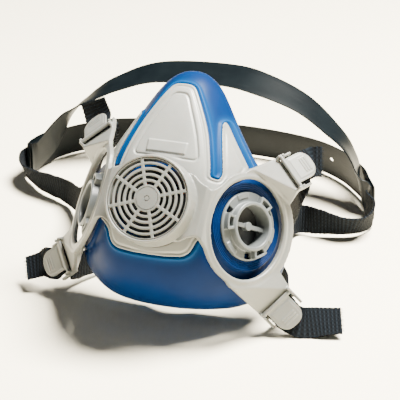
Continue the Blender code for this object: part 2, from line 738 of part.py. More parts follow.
def buckle_loop(frame, tail, straight, leave, flip):
    """Strap stations from the tail's end, over the strap bar and out below the arm."""
    across = (frame.matrix_world.to_3x3() @ Vector((flip, 0, 0))).normalized()
    reach = 2.45
    y, z = STRAP_BAR_AT
    stations = list(tail)
    for dy, dz in ((straight, reach), (7.0, reach), (2.0, reach), (0.0, reach)):
        stations.append((in_world(frame, 0.0, y + dy, z + dz), across))
    for angle in (135, 180, 225):
        stations.append((in_world(frame, 0.0, y + reach * cos(radians(angle)),
                                  z + reach * sin(radians(angle))), across))
    for dy, dz in leave:
        stations.append((in_world(frame, 0.0, y + dy, z + dz), across))
    return stations


DOWN = Vector((0, 0, -1))
# Stations in world millimetres: middle of the strip and the direction of its width
TAILS = {
    "upper_right": (((115.3, -54.5, 93.8), (0.65, -0.11, -0.76)), ((110.8, -56.5, 94), (0.66, -0.15, -0.74))),
    "lower_right": (((140.8, -93, 8.8), (-0.25, -0.85, -0.42)), ((128.8, -97.5, 8.4), (-0.3, -0.8, -0.52)),
                    ((119.3, -102.2, 8.5), (-0.52, -0.6, -0.61))),
    "upper_left": (((-36.7, -49, 112.8), (-0.80, 0.1, -0.56)), ((-34.2, -50, 107.3), (-0.80, 0.0, -0.58))),
    "lower_left": (((-65.2, -96, 13.2), (0.35, -0.8, -0.42)), ((-57.7, -93.5, 15.7), (0.38, -0.78, -0.5)),
                   ((-52.1, -94.4, 19.2), (0.5, -0.62, -0.6))),
}
RIGHT_RUN = (((102.3, -59, 72.8), (0, 0, -1)), ((92.3, -39, 52.8), (0, 0, -1)),
             ((82.3, -17, 36.8), (0, -0.2, -1)),
             ((72.3, 11, 18.2), (0, -0.4, -1)), ((72.8, 37.7, 11.1), (0, -0.39, -0.92)),
             ((86.4, 36.5, 11.8), (0, 0.08, -1)),
             ((103, 37.2, 10.6), (-0.1, 0.5, -0.86)), ((112.8, 42.4, 10.2), (-0.35, 0.45, -0.8)),
             ((117, 52, 11), (-0.3, 0.2, -0.93)), ((116.8, 61, 11.7), (-0.1, 0, -1)),
             ((114.2, 66.6, 11.8), (0, 0, -1)),
             ((110.1, 71.8, 11.8), (0, 0, -1)), ((107.4, 76.8, 11.9), (0, 0, -1)))
LEFT_RUN = (((-35.7, -46, 60.8), (0, 0, -1)), ((-49.7, -27, 40.8), (0, 0, -1)),
            ((-68.7, 1, 19.2), (0, 0, -1)), ((-87.6, 25.3, 11.7), (0, 0, -1)),
            ((-99.6, 32.8, 11.6), (0.08, 0.14, -0.99)),
            ((-120.8, 42.6, 11.1), (0.19, 0.33, -0.93)), ((-133.7, 53.6, 10.4), (0.3, 0.35, -0.88)),
            ((-141, 64.3, 11.4), (0.2, 0.05, -0.97)), ((-142, 75, 11.8), (0, 0, -1)),
            ((-140.9, 85, 11.9), (0, 0, -1)), ((-137.8, 96, 12), (0, 0, -1)))
UPPER_RUNS = {"right": RIGHT_RUN, "left": LEFT_RUN}
LOWER_RUNS = {
    "right": ((104.3, -85, 11.7), (96.3, -63, 11.7), (83.3, -46, 11.7), (72.3, -30, 11.7), (62.3, -22.4, 11.7)),
    "left": ((-35.7, -83, 14.2), (-25.7, -61, 12.7), (-9.7, -43, 11.7), (0.3, -30, 11.7), (10.3, -22.4, 11.7)),
}
# Right strap around the end bar of its clasp half, as (x, z) in the clasp frame
CLASP_WRAP = ((18.5, 1.7), (15.0, 2.1), (12.4, 2.0), (10.95, 1.1), (10.7, 0.0), (10.95, -1.1), (12.4, -2.0),
              (15.0, -2.1), (18.5, -1.6), (27.0, -0.7))
REAR_BAND = (((-139.1, 69, 13.8), (0, 0, 1)), ((-139.5, 77, 13.8), (0, 0, 1)),
             ((-137.9, 87, 13.8), (0, 0, 1)),
             ((-134.5, 97, 13.8), (0.03, -0.05, 1)), ((-129.5, 107.5, 13.6), (0.15, -0.2, 1)),
             ((-118.2, 123, 13.6), (0.15, -0.25, 1)), ((-98.2, 138, 13.8), (0, -0.25, 1)),
             ((-58.2, 150, 13.8), (0, -0.2, 1)),
             ((-8.2, 154, 13.8), (0, -0.2, 1)), ((26.8, 151, 13.8), (0, -0.2, 1)),
             ((53.8, 143, 13.8), (0, -0.15, 1)), ((74.8, 129.5, 13.8), (0, -0.1, 1)),
             ((89.8, 113.5, 13.8), (0, -0.05, 1)), ((99.3, 101, 13.8), (0, 0, 1)),
             ((105.8, 88, 13.8), (0, 0, 1)), ((109.9, 80.4, 13.8), (0, 0, 1)),
             ((113.8, 73, 13.8), (0, 0, 1)))
CROWN_BAND = (((-136.8, 69.5, 14), (0, 0, 1)), ((-136.4, 73, 14.1), (0.03, -0.15, 0.98)),
              ((-134.4, 77.5, 15.5), (0.03, -0.5, 0.86)), ((-131.4, 83, 19.4), (-0.02, -0.61, 0.79)),
              ((-128.5, 87.7, 24.2), (-0.01, -0.63, 0.77)), ((-125.8, 93.8, 30.2), (0.07, -0.72, 0.69)),
              ((-123, 98.5, 35.5), (0.15, -0.81, 0.56)), ((-119.4, 102.9, 40.1), (0.29, -0.85, 0.44)),
              ((-114.1, 107.1, 45.2), (0.36, -0.89, 0.29)), ((-107.8, 110.6, 49.2), (0.4, -0.9, 0.17)),
              ((-101.4, 114, 53.5), (0.43, -0.9, 0.07)), ((-88.6, 119.8, 60), (0.46, -0.88, -0.06)),
              ((-61.2, 127.6, 68.6), (0.2, -0.93, -0.28)), ((-9.2, 120, 75.2), (-0.08, -0.94, -0.33)),
              ((21.3, 113.2, 73.7), (-0.12, -0.95, -0.29)), ((51.8, 110, 64.1), (-0.08, -0.99, -0.12)),
              ((76.4, 105, 48.1), (-0.12, -0.98, 0.15)), ((88, 100, 38.5), (0, -0.95, 0.3)),
              ((93.8, 95.5, 31.4), (0.05, -0.92, 0.38)), ((97.4, 90.8, 23.6), (0.08, -0.75, 0.65)),
              ((102.6, 85.2, 16.8), (0.03, -0.35, 0.93)), ((107.9, 79.7, 14.2), (0, -0.05, 1)),
              ((111.7, 72.8, 13.9), (0, 0, 1)))


def straps(buckles, clasp):
    for side, name in SIDE_NAMES.items():
        for level, runs, straight, leave in (("upper", UPPER_RUNS, 15.5, ((3.5, -2.7), (9.0, -4.0))),
                                             ("lower", LOWER_RUNS, 9.5, ((1.5, -3.6), (4.5, -6.0)))):
            tag = level + "_" + name
            tail = [(Vector(p), Vector(a)) for p, a in TAILS[tag]]
            stations = buckle_loop(buckles[level, side], tail, straight, leave, side)
            if level == "upper":
                stations += [(Vector(p), Vector(a)) for p, a in runs[name]]
            else:
                stations += [(Vector(p), DOWN) for p in runs[name]]
                stations += [(in_world(clasp, side * x, 0.0, z), DOWN) for x, z in CLASP_WRAP]
            ribbon(tag + "_strap", stations, WEBBING_WIDTH, WEBBING_THICKNESS, "webbing_black", STRAP_SAMPLES)


def bands():
    rear = [(Vector(p), Vector(a)) for p, a in REAR_BAND]
    crown = [(Vector(p), Vector(a)) for p, a in CROWN_BAND]
    rear_band = ribbon("rear_band", rear, BAND_WIDTH, BAND_THICKNESS, "band_black", BAND_SAMPLES)
    place = Matrix.Translation(EYELET_PLACE * MM) @ Matrix.Rotation(pi / 2, 4, "X")
    eyelet = frame_empty("eyelet_frame", place)
    boolean(rear_band, disc("band_eyelet", EYELET_RADIUS, -8.0, 8.0, eyelet, 12), "DIFFERENCE")
    ribbon("crown_band", crown, BAND_WIDTH, BAND_THICKNESS, "band_black", BAND_SAMPLES)


# ---------------------------------------------------------------- assembly

def build():
    mask = frame_empty("mask_frame", mask_matrix())
    front = frame_empty("front_frame", front_frame(mask_matrix()))
    yoke_front = frame_empty("yoke_front_frame", front_frame(yoke_matrix()))
    ports = {}
    rings = {}
    for side, name in SIDE_NAMES.items():
        ports[side] = frame_empty("port_frame_" + name, port_frame(mask_matrix(), side, CONNECTOR_SHIFT))
        rings[side] = frame_empty("ring_frame_" + name, port_frame(yoke_matrix(), side))
    buckles = {(level, side): frame_empty(f"buckle_frame_{level}_{name}", buckle_frame(level, side))
               for level in BUCKLES for side, name in SIDE_NAMES.items()}
    clasp = frame_empty("clasp_frame", front_frame(Matrix.Translation(CLASP_PLACE * MM)))
    bpy.context.view_layer.update()

    facepiece(mask, front, ports)
    nose_shell(mask, front, ports)
    exhalation_valve(front)
    cover_grille(yoke_front)
    for side, name in SIDE_NAMES.items():
        inlet_connector("inlet_connector_" + name, ports[side])
        inhalation_flap("inhalation_valve_flap_" + name, ports[side])
    yoke(yoke_front, rings, buckles)
    for (level, side), frame in buckles.items():
        lever(f"buckle_lever_{level}_{SIDE_NAMES[side]}", frame, LEVER_TILT[level])
    clasp_loop(clasp)
    clasp_hook(clasp)
    straps(buckles, clasp)
    bands()


build()
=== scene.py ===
from math import asin, cos, pi, radians, sin

import bmesh
import bpy
import numpy as np
from mathutils import Matrix, Vector


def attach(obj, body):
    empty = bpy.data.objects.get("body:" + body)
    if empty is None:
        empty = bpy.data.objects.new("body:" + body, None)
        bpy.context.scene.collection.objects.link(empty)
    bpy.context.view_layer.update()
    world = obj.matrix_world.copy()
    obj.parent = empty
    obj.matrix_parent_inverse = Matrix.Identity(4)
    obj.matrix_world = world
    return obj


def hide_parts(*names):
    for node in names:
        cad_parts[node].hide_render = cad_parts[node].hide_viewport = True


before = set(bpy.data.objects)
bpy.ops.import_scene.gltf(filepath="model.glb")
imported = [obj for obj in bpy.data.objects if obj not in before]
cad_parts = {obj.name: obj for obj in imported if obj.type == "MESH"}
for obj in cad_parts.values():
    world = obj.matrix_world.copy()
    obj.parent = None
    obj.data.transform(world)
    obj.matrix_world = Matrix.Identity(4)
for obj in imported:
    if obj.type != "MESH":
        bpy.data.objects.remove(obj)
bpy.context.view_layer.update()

MM = 0.001
ROOT = "respirator"

# Frames and layers shared with the CAD, in millimetres; *_PLACE are metres
MASK_PLACE = Vector((36.3, -143.0, 94.9)) * MM
MASK_LEAN = radians(32.5)
YOKE_ROLL = radians(3.8)
PORT_AZIMUTH = radians(57.6)
PORT_ELEVATION = radians(2.7)
RING_CENTRE = Vector((51.5, 41.0, -1.4))
CONNECTOR_SHIFT = (2.1, -1.0)
SKIN_FRONT = 16.5
PORT_FACE = -5.2
CLASP_PLACE = Vector((36.3, -21.2, 13.9)) * MM
EYELET_PLACE = Vector((65.3, 136.5, 14.7)) * MM
SIDES = {1: "right", -1: "left"}

SKIN_WALL = 2.6
SHELL_WALL = 1.3
SHELL_GAP = 0.3
COVER_RADIUS = 24.2
WEBBING_WIDTH, WEBBING_THICKNESS = 18.8, 1.3
BAND_WIDTH, BAND_THICKNESS = 24.0, 1.6
EYELET_RADIUS = 1.6
WEAVE_PITCH = 2.4
WEAVE_CELLS = 7
THREADS = 60
THREAD_SEED = 7

# The camera: metres, degrees about X, Y and Z, and focal length in millimetres
EYE_PLACE = (0.4489, -1.16512, 0.57028)
EYE_TURN = (66.5945, 0.514, 20.1504)
EYE_LENS = 186.207


# ---------------------------------------------------------------- frames

def mask_matrix():
    """Facepiece frame: +Y into the mask, +Z up its face."""
    return Matrix.Translation(MASK_PLACE) @ Matrix.Rotation(-MASK_LEAN, 4, "X")


def yoke_matrix():
    return mask_matrix() @ Matrix.Rotation(YOKE_ROLL, 4, "Y")


def front_frame(base):
    """Turns a frame so that its +Z looks out of the mask's front."""
    return base @ Matrix(((1, 0, 0), (0, 0, -1), (0, 1, 0))).to_4x4()


def port_frame(base, side, shift=(0.0, 0.0)):
    """Frame of one inlet, +Z out along its axis."""
    out = Vector((side * sin(PORT_AZIMUTH) * cos(PORT_ELEVATION),
                  -cos(PORT_AZIMUTH) * cos(PORT_ELEVATION), sin(PORT_ELEVATION)))
    along = Vector((cos(PORT_AZIMUTH), side * sin(PORT_AZIMUTH), 0.0))
    up = out.cross(along)
    centre = Vector((side * RING_CENTRE.x, RING_CENTRE.y, RING_CENTRE.z))
    centre += side * shift[0] * along + shift[1] * up
    return base @ Matrix.Translation(centre * MM) @ Matrix((along, up, out)).transposed().to_4x4()


# First end, second end and outward direction of each strap bar on the right side
BUCKLES = {
    "upper": (Vector((53.9, 56.0, 44.2)), Vector((69.4, 59.0, 29.9)), Vector((0.44, 0.74, 0.50))),
    "lower": (Vector((74.0, 73.2, -28.2)), Vector((62.2, 72.2, -45.8)), Vector((0.70, 0.50, -0.37))),
}


def buckle_frame(level, side):
    """Frame of one buckle: X along its strap bar, Y away from the arm's root, Z outward."""
    first, second, out = BUCKLES[level]
    middle = (first + second) / 2
    along = (second - first).normalized()
    out = (out - along * out.dot(along)).normalized()
    if side < 0:
        mirror = Matrix.Scale(-1, 3, (1, 0, 0))
        middle, along, out = mirror @ middle, mirror @ -along, mirror @ out
    turn = Matrix((along, out, along.cross(out))).transposed().to_4x4()
    return yoke_matrix() @ Matrix.Translation(middle * MM) @ turn


MASK = mask_matrix()
FRONT = front_frame(MASK)
YOKE_FRONT = front_frame(yoke_matrix())
PORTS = {side: port_frame(MASK, side, CONNECTOR_SHIFT) for side in SIDES}
RINGS = {side: port_frame(yoke_matrix(), side) for side in SIDES}
CLASP = Matrix.Translation(CLASP_PLACE) @ front_frame(Matrix.Identity(4))
EYELET = Matrix.Translation(EYELET_PLACE) @ Matrix.Rotation(radians(90), 4, "X")


def in_world(place, x, y, z):
    """World millimetres of a point given in a frame's millimetres."""
    return (place @ (Vector((x, y, z)) * MM)) / MM


# ---------------------------------------------------------------- node materials

class Looks:
    """A small builder for node materials on a Principled shader."""

    def __init__(self, name, colour, roughness):
        self.made = bpy.data.materials.new(name)
        self.made.use_nodes = True
        self.tree = self.made.node_tree
        self.shader = self.tree.nodes["Principled BSDF"]
        self.shader.inputs["Base Color"].default_value = (*colour, 1)
        self.shader.inputs["Roughness"].default_value = roughness
        self.height = None

    def feed(self, slot, value):
        """Links an output to a socket, or sets the socket's own value."""
        if hasattr(value, "links"):
            self.tree.links.new(value, slot)
        else:
            slot.default_value = value

    def node(self, kind, links=(), **values):
        """A node; names in lower case are its properties, the others its sockets."""
        made = self.tree.nodes.new(kind)
        for key, value in values.items():
            if key.islower():
                setattr(made, key, value)
            else:
                made.inputs[key].default_value = value
        for target, source in links:
            self.tree.links.new(source, made.inputs[target])
        return made

    def math(self, operation, a, b=0.0):
        made = self.node("ShaderNodeMath", operation=operation)
        for slot, value in zip(made.inputs, (a, b)):
            self.feed(slot, value)
        return made.outputs[0]

    def sine(self, source, factor):
        return self.math("SINE", self.math("MULTIPLY", source, factor))

    def place(self, kind="Object"):
        return self.node("ShaderNodeTexCoord").outputs[kind]

    def noise(self, scale, detail=3.0, kind="Object", rough=0.55):
        return self.node("ShaderNodeTexNoise", [("Vector", self.place(kind))], Scale=scale, Detail=detail,
                         Roughness=rough).outputs["Fac"]

    def ramp(self, source, stops):
        made = self.node("ShaderNodeValToRGB", [(0, source)])
        while len(made.color_ramp.elements) < len(stops):
            made.color_ramp.elements.new(0.5)
        for element, (at, colour) in zip(made.color_ramp.elements, stops):
            element.position = at
            element.color = (*colour, 1)
        return made.outputs["Color"]

    def mix(self, factor, a, b, kind="MIX"):
        made = self.node("ShaderNodeMix", data_type="RGBA", blend_type=kind)
        self.feed(made.inputs["Factor"], factor)
        for slot, value in zip(made.inputs[6:8], (a, b)):
            self.feed(slot, value if hasattr(value, "links") else (*value, 1))
        return made.outputs[2]

    def span(self, source, low, high):
        made = self.node("ShaderNodeMapRange", [("Value", source)])
        made.inputs["To Min"].default_value = low
        made.inputs["To Max"].default_value = high
        return made.outputs[0]

    def colour(self, source):
        self.tree.links.new(source, self.shader.inputs["Base Color"])

    def set(self, **values):
        """Sets inputs of the shader, written with _ for a space."""
        for key, value in values.items():
            self.feed(self.shader.inputs[key.replace("_", " ")], value)

    def bump(self, height, strength, distance):
        """Adds a bump on top of those before it."""
        made = self.node("ShaderNodeBump", [("Height", height)], Strength=strength, Distance=distance)
        if self.height is not None:
            self.tree.links.new(self.height, made.inputs["Normal"])
        self.height = made.outputs[0]
        self.tree.links.new(self.height, self.shader.inputs["Normal"])


def moulded(name, base, shade, roughness, grain=0.35):
    """Moulded plastic: slow tone drift, a fine spark-eroded grain and small handling marks."""
    looks = Looks(name, base, roughness)
    drift = looks.noise(28.0, 4.0)
    tone = looks.ramp(drift, ((0.3, shade), (0.7, base)))
    marks = looks.noise(260.0, 6.0, rough=0.7)
    worn = looks.span(marks, 0.9, 1.06)
    bright = looks.node("ShaderNodeCombineColor", [("Red", worn), ("Green", worn), ("Blue", worn)])
    looks.colour(looks.mix(1.0, tone, bright.outputs[0], "MULTIPLY"))
    looks.set(Roughness=looks.span(marks, roughness - 0.07, roughness + 0.1))
    looks.bump(looks.noise(1500.0, 2.0), grain, 0.00006)
    looks.bump(looks.noise(90.0, 2.0), 0.12, 0.0004)
    return looks


def shell_material():
    looks = moulded("shell_light_grey", (0.25, 0.254, 0.24), (0.212, 0.217, 0.204), 0.36)
    looks.set(Coat_Weight=0.12, Coat_Roughness=0.3, Subsurface_Weight=0.06, Subsurface_Scale=0.004)
    return looks.made


def yoke_material():
    # Set darker than the shell's grey as painted shade for the outlet cup's walls and underside; the cover,
    # levers and clasp share it.
    looks = moulded("yoke_light_grey", (0.17, 0.173, 0.16), (0.142, 0.146, 0.136), 0.38)
    looks.set(Coat_Weight=0.08, Coat_Roughness=0.35, Subsurface_Weight=0.06, Subsurface_Scale=0.004)
    return looks.made


def connector_material():
    looks = moulded("connector_grey_satin", (0.108, 0.12, 0.122), (0.085, 0.096, 0.10), 0.36, 0.25)
    looks.set(Coat_Weight=0.08, Coat_Roughness=0.25)
    return looks.made


def rubber_material():
    """Clear-toned blue silicone: deep in the body, with a lighter blue where the thin weight is set, as
    painted glow, and a soft gloss.
    """
    looks = Looks("silicone_blue_gloss", (0.003, 0.052, 0.22), 0.3)
    slow = looks.noise(22.0, 3.0)
    body = looks.ramp(slow, ((0.25, (0.0003, 0.009, 0.045)), (0.55, (0.0004, 0.013, 0.064)),
                             (0.8, (0.0005, 0.018, 0.085))))
    thin = looks.node("ShaderNodeAttribute", attribute_name="thin").outputs["Fac"]
    # The thin weight mixes in a lighter blue: painted glow and painted highlight along the bead and the inlet
    # rims.
    looks.colour(looks.mix(thin, body, (0.0004, 0.046, 0.150)))
    smear = looks.noise(120.0, 5.0, rough=0.65)
    looks.set(Roughness=looks.span(smear, 0.36, 0.52), Specular_IOR_Level=0.08, Subsurface_Weight=0.05,
              Subsurface_Scale=0.004, IOR=1.41)
    looks.shader.inputs["Subsurface Radius"].default_value = (0.15, 0.5, 1.0)
    looks.bump(looks.noise(1100.0, 2.0), 0.18, 0.00005)
    looks.bump(looks.noise(60.0, 2.0), 0.1, 0.0006)
    return looks.made


def valve_material():
    """Dark dusty rubber of the flaps; on the outlet seat behind the cover it is painted shade."""
    looks = Looks("valve_rubber_dark_and_seat_shade", (0.03, 0.033, 0.035), 0.5)
    dust = looks.noise(200.0, 5.0)
    looks.colour(looks.ramp(dust, ((0.35, (0.022, 0.024, 0.026)), (0.75, (0.06, 0.063, 0.065)))))
    looks.set(Roughness=looks.span(dust, 0.4, 0.62))
    looks.bump(looks.noise(900.0), 0.3, 0.00005)
    return looks.made


def webbing_material():
    """Ribbed black webbing with painted shade in the weave's valleys and a painted sheen on its crests; UV
    runs across the strip (0 to 1) and along it in millimetres.
    """
    looks = Looks("webbing_black_weave", (0.010, 0.013, 0.020), 0.85)
    place = looks.place("UV")
    split = looks.node("ShaderNodeSeparateXYZ", [("Vector", place)])
    across, along = split.outputs["X"], split.outputs["Y"]
    picks = looks.sine(along, 2 * pi / WEAVE_PITCH)
    ends = looks.sine(across, 2 * pi * WEAVE_CELLS)
    twist = looks.math("SINE", looks.math("ADD", looks.math("MULTIPLY", along, 2 * pi / 0.7),
                                          looks.math("MULTIPLY", across, 2 * pi * 30)))
    rib = looks.math("MULTIPLY", looks.math("ADD", picks, 1.0), 0.5)
    check = looks.math("ADD", looks.math("MULTIPLY", picks, ends), 1.0)
    cell = looks.math("ADD", looks.math("MULTIPLY", rib, 0.6), looks.math("MULTIPLY", check, 0.2))
    fibre = looks.noise(2600.0, 3.0)
    height = looks.math("ADD", looks.math("ADD", cell, looks.math("MULTIPLY", fibre, 0.25)),
                        looks.math("MULTIPLY", twist, 0.1))
    lint = looks.noise(420.0, 6.0, rough=0.8)
    # Colour follows the weave's height: painted shade in the valleys, painted sheen on the crests.
    weave_shade_and_sheen = looks.ramp(height, ((0.2, (0.0006, 0.0010, 0.0018)), (0.7, (0.0022, 0.0040, 0.0066)),
                               (1.0, (0.0075, 0.0115, 0.0165))))
    spots = looks.ramp(lint, ((0.64, (0.0, 0.0, 0.0)), (0.85, (0.012, 0.015, 0.018))))
    looks.colour(looks.mix(1.0, weave_shade_and_sheen, spots, "ADD"))
    looks.set(Roughness=0.85, Specular_IOR_Level=0.1)
    looks.bump(height, 1.0, 0.0012)
    return looks.made


def band_material():
    """Smooth black head band with a fine lengthwise drag and a soft sheen."""
    looks = Looks("band_black_satin", (0.014, 0.017, 0.017), 0.3)
    place = looks.place("UV")
    long = looks.node("ShaderNodeMapping", [("Vector", place)], Scale=(60.0, 0.05, 1.0))
    drag = looks.node("ShaderNodeTexNoise", [("Vector", long.outputs[0])], Scale=1.0, Detail=4.0)
    drag = drag.outputs["Fac"]
    cloud = looks.noise(45.0, 4.0)
    looks.colour(looks.ramp(cloud, ((0.3, (0.0010, 0.0022, 0.0032)), (0.75, (0.0032, 0.0052, 0.0065)))))
    looks.set(Roughness=looks.span(drag, 0.33, 0.5), Specular_IOR_Level=0.11)
    looks.bump(drag, 0.25, 0.00008)
    looks.bump(looks.noise(700.0, 3.0), 0.2, 0.00006)
    return looks.made


# By record slot
MATS = {
    "shell_grey": shell_material(), "yoke_grey": yoke_material(), "connector_grey": connector_material(),
    "silicone_blue": rubber_material(), "valve_rubber": valve_material(),
    "webbing_black": webbing_material(), "band_black": band_material(),
}


# ---------------------------------------------------------------- mesh tools

def mesh_of(name, bm, place=None):
    """A mesh in metres from millimetres in a frame."""
    bmesh.ops.recalc_face_normals(bm, faces=bm.faces[:])
    mesh = bpy.data.meshes.new(name)
    bm.to_mesh(mesh)
    bm.free()
    mesh.transform((place or Matrix.Identity(4)) @ Matrix.Scale(MM, 4))
    return mesh


def thing(name, mesh):
    made = bpy.data.objects.new(name, mesh)
    bpy.context.scene.collection.objects.link(made)
    return made


def copy_of(node, name):
    """A copy of a CAD node's solid, to be finished further."""
    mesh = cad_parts[node].data.copy()
    mesh.materials.clear()
    return thing(name, mesh)


def bake(item):
    """Applies the item's modifiers and removes the cutters they used."""
    used = [m.object for m in item.modifiers if m.type == "BOOLEAN"]
    bpy.context.view_layer.update()
    graph = bpy.context.evaluated_depsgraph_get()
    mesh = bpy.data.meshes.new_from_object(item.evaluated_get(graph), depsgraph=graph)
    item.modifiers.clear()
    item.data = mesh
    for other in used:
        bpy.data.objects.remove(other, do_unlink=True)


def cut(item, other, operation="DIFFERENCE"):
    """Cuts, joins or intersects with another solid once the item is baked."""
    made = item.modifiers.new("cut", "BOOLEAN")
    made.operation = operation
    made.solver = "EXACT"
    made.object = other


def soften(item, voxel, rounds):
    """Rounds every edge of a moulded solid: an even remesh, then a few smoothing rounds."""
    made = item.modifiers.new("even", "REMESH")
    made.mode = "VOXEL"
    made.voxel_size = voxel * MM
    made.use_smooth_shade = True
    made = item.modifiers.new("soft", "SMOOTH")
    made.factor = 0.5
    made.iterations = rounds
    bake(item)


def done(item, slot, angle, body=ROOT, replaces=()):
    """Finishes a piece: the material of its record slot, shading, body and the CAD nodes it stands for."""
    item.data.materials.clear()
    item.data.materials.append(MATS[slot])
    item.data.shade_smooth()
    item.data.set_sharp_from_angle(angle=radians(angle))
    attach(item, body)
    if replaces:
        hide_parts(*replaces)


def fillet(points, radius, count=3):
    """A closed outline with its corners rounded as far as its sides allow."""
    made = []
    size = len(points)
    for i in range(size):
        here = Vector(points[i])
        before = Vector(points[i - 1]) - here
        after = Vector(points[(i + 1) % size]) - here
        reach = min(radius, before.length * 0.45, after.length * 0.45)
        start = here + before.normalized() * reach
        end = here + after.normalized() * reach
        for k in range(count + 1):
            t = k / count
            made.append(tuple((1 - t) ** 2 * start + 2 * t * (1 - t) * here + t * t * end))
    return made


def turned(name, profile, place, steps=96):
    """A closed (radius, z) profile turned around Z."""
    bm = bmesh.new()
    ring = [bm.verts.new((r, 0.0, z)) for r, z in profile]
    edges = [bm.edges.new((a, b)) for a, b in zip(ring, ring[1:] + ring[:1])]
    bmesh.ops.spin(bm, geom=ring + edges, cent=(0, 0, 0), axis=(0, 0, 1), dvec=(0, 0, 0),
                   angle=2 * pi, steps=steps, use_merge=True)
    bmesh.ops.remove_doubles(bm, verts=bm.verts[:], dist=1e-4)
    bmesh.ops.dissolve_degenerate(bm, edges=bm.edges[:], dist=1e-5)
    return thing(name, mesh_of(name, bm, place))


def disc(name, radius, low, high, place, steps=64):
    """A cylinder around Z from low to high."""
    bm = bmesh.new()
    bmesh.ops.create_cone(bm, cap_ends=True, segments=steps, radius1=radius, radius2=radius,
                          depth=high - low, matrix=Matrix.Translation((0, 0, (low + high) / 2)))
    return thing(name, mesh_of(name, bm, place))


def block(name, low, high, place):
    bm = bmesh.new()
    size = [b - a for a, b in zip(low, high)]
    middle = [(a + b) / 2 for a, b in zip(low, high)]
    bmesh.ops.create_cube(bm, size=1.0, matrix=Matrix.Translation(middle) @ Matrix.Diagonal((*size, 1.0)))
    return thing(name, mesh_of(name, bm, place))


def slab(name, outline, low, high, place):
    """A flat outline extruded from low to high."""
    bm = bmesh.new()
    bottom = [bm.verts.new((x, y, low)) for x, y in outline]
    top = [bm.verts.new((x, y, high)) for x, y in outline]
    bm.faces.new(bottom[::-1])
    bm.faces.new(top)
    for k in range(len(outline)):
        n = (k + 1) % len(outline)
        bm.faces.new((bottom[k], bottom[n], top[n], top[k]))
    bmesh.ops.triangulate(bm, faces=[f for f in bm.faces if len(f.verts) > 4])
    return thing(name, mesh_of(name, bm, place))


def arc(radius, start, end, count, centre=(0.0, 0.0)):
    turns = [radians(start + (end - start) * i / count) for i in range(count + 1)]
    return [(centre[0] + radius * cos(t), centre[1] + radius * sin(t)) for t in turns]


def sector(inner, outer, start, end):
    """Outline of a ring's piece between two angles."""
    return arc(inner, start, end, 6) + arc(outer, end, start, 6)


def mirrored(half):
    """The whole closed outline of a half drawn at x >= 0 from top to bottom."""
    return list(half) + [(-x, y) for x, y in reversed(half) if x > 0]


def points_of(item, place=None):
    """Vertex places in a frame's millimetres, and normals in that frame."""
    count = len(item.data.vertices)
    flat = np.empty(count * 3)
    item.data.vertices.foreach_get("co", flat)
    normal = np.empty(count * 3)
    item.data.vertices.foreach_get("normal", normal)
    flat, normal = flat.reshape(-1, 3), normal.reshape(-1, 3)
    if place is not None:
        back = np.array(place.inverted())
        flat = flat @ back[:3, :3].T + back[:3, 3]
        normal = normal @ back[:3, :3].T
    return flat * 1000.0, normal


def push(item, amount):
    """Moves each vertex along its normal, in millimetres."""
    places, normal = points_of(item)
    item.data.vertices.foreach_set("co", ((places + normal * amount[:, None]) / 1000.0).ravel())
    item.data.update()


def outline_distance(points, outline):
    """Distance of 2D points to a closed outline, negative inside."""
    a = np.array(outline)
    b = np.roll(a, -1, axis=0)
    best = np.full(len(points), 1e9)
    inside = np.zeros(len(points), bool)
    for (x0, y0), (x1, y1) in zip(a, b):
        d = np.array((x1 - x0, y1 - y0))
        t = np.clip(((points - (x0, y0)) @ d) / max(d @ d, 1e-9), 0, 1)
        best = np.minimum(best, np.hypot(points[:, 0] - x0 - t * d[0], points[:, 1] - y0 - t * d[1]))
        crosses = (y0 > points[:, 1]) != (y1 > points[:, 1])
        with np.errstate(divide="ignore", invalid="ignore"):
            at = (x1 - x0) * (points[:, 1] - y0) / (y1 - y0 if y1 != y0 else 1e-9) + x0
        inside ^= crosses & (points[:, 0] < at)
    return np.where(inside, -best, best)


def hump(d, middle, width):
    """A smooth ridge of height 1."""
    return np.exp(-((d - middle) / width) ** 2)


def weight(item, name, values):
    """Stores a value per vertex that a material reads."""
    layer = item.data.attributes.new(name, "FLOAT", "POINT")
    layer.data.foreach_set("value", values.astype(np.float32))


# ---------------------------------------------------------------- facepiece and shell

# Right half of the face form, top row to bottom row, from the middle outward
SKIN_CAGE = (
    ((0, 52, 89.5), (4.5, 52, 89), (8.5, 52, 87), (11.5, 52, 84), (13.5, 52, 81)),
    ((0, 36, 85.5), (7, 36.5, 84.5), (12.5, 39, 82.5), (17, 43, 80), (20.5, 49.5, 77)),
    ((0, 25.5, 68.5), (10.5, 26.5, 67.5), (18, 32.5, 65), (25, 41, 63.5), (30.5, 50, 62)),
    ((0, 20.5, 47), (17.5, 21.5, 46.5), (27, 31, 46), (34, 42, 46), (41, 54, 45)),
    ((0, 17.0, 28), (23, 18, 28), (34.5, 28, 28), (45, 46, 28), (54, 64, 29)),
    ((0, 16.5, 8), (27.5, 17, 8), (39.5, 30.5, 8), (56, 58.5, 8), (66, 78, 9)),
    ((0, 16.5, -12), (28, 17, -12), (40, 31, -12), (58.5, 60, -12), (69, 83, -11)),
    ((0, 19, -30), (26, 20, -30), (40.5, 32.5, -30.5), (58, 59, -31), (66.5, 85, -29)),
    ((0, 29, -47.5), (21, 30.5, -47), (36, 41, -45.5), (49.5, 61, -43), (56, 85, -41)),
    ((0, 46, -56.5), (17, 46.5, -56), (29.5, 53, -54.5), (39, 68, -51.5), (43, 85, -48)),
    ((0, 66, -56), (11, 66, -55.7), (19, 69, -54.5), (26, 77, -52), (29, 84.5, -49.5)),
    ((0, 80, -52.5), (5, 80.5, -52.3), (10, 81.5, -52), (14, 83, -51.5), (18, 84.5, -50.5)),
)
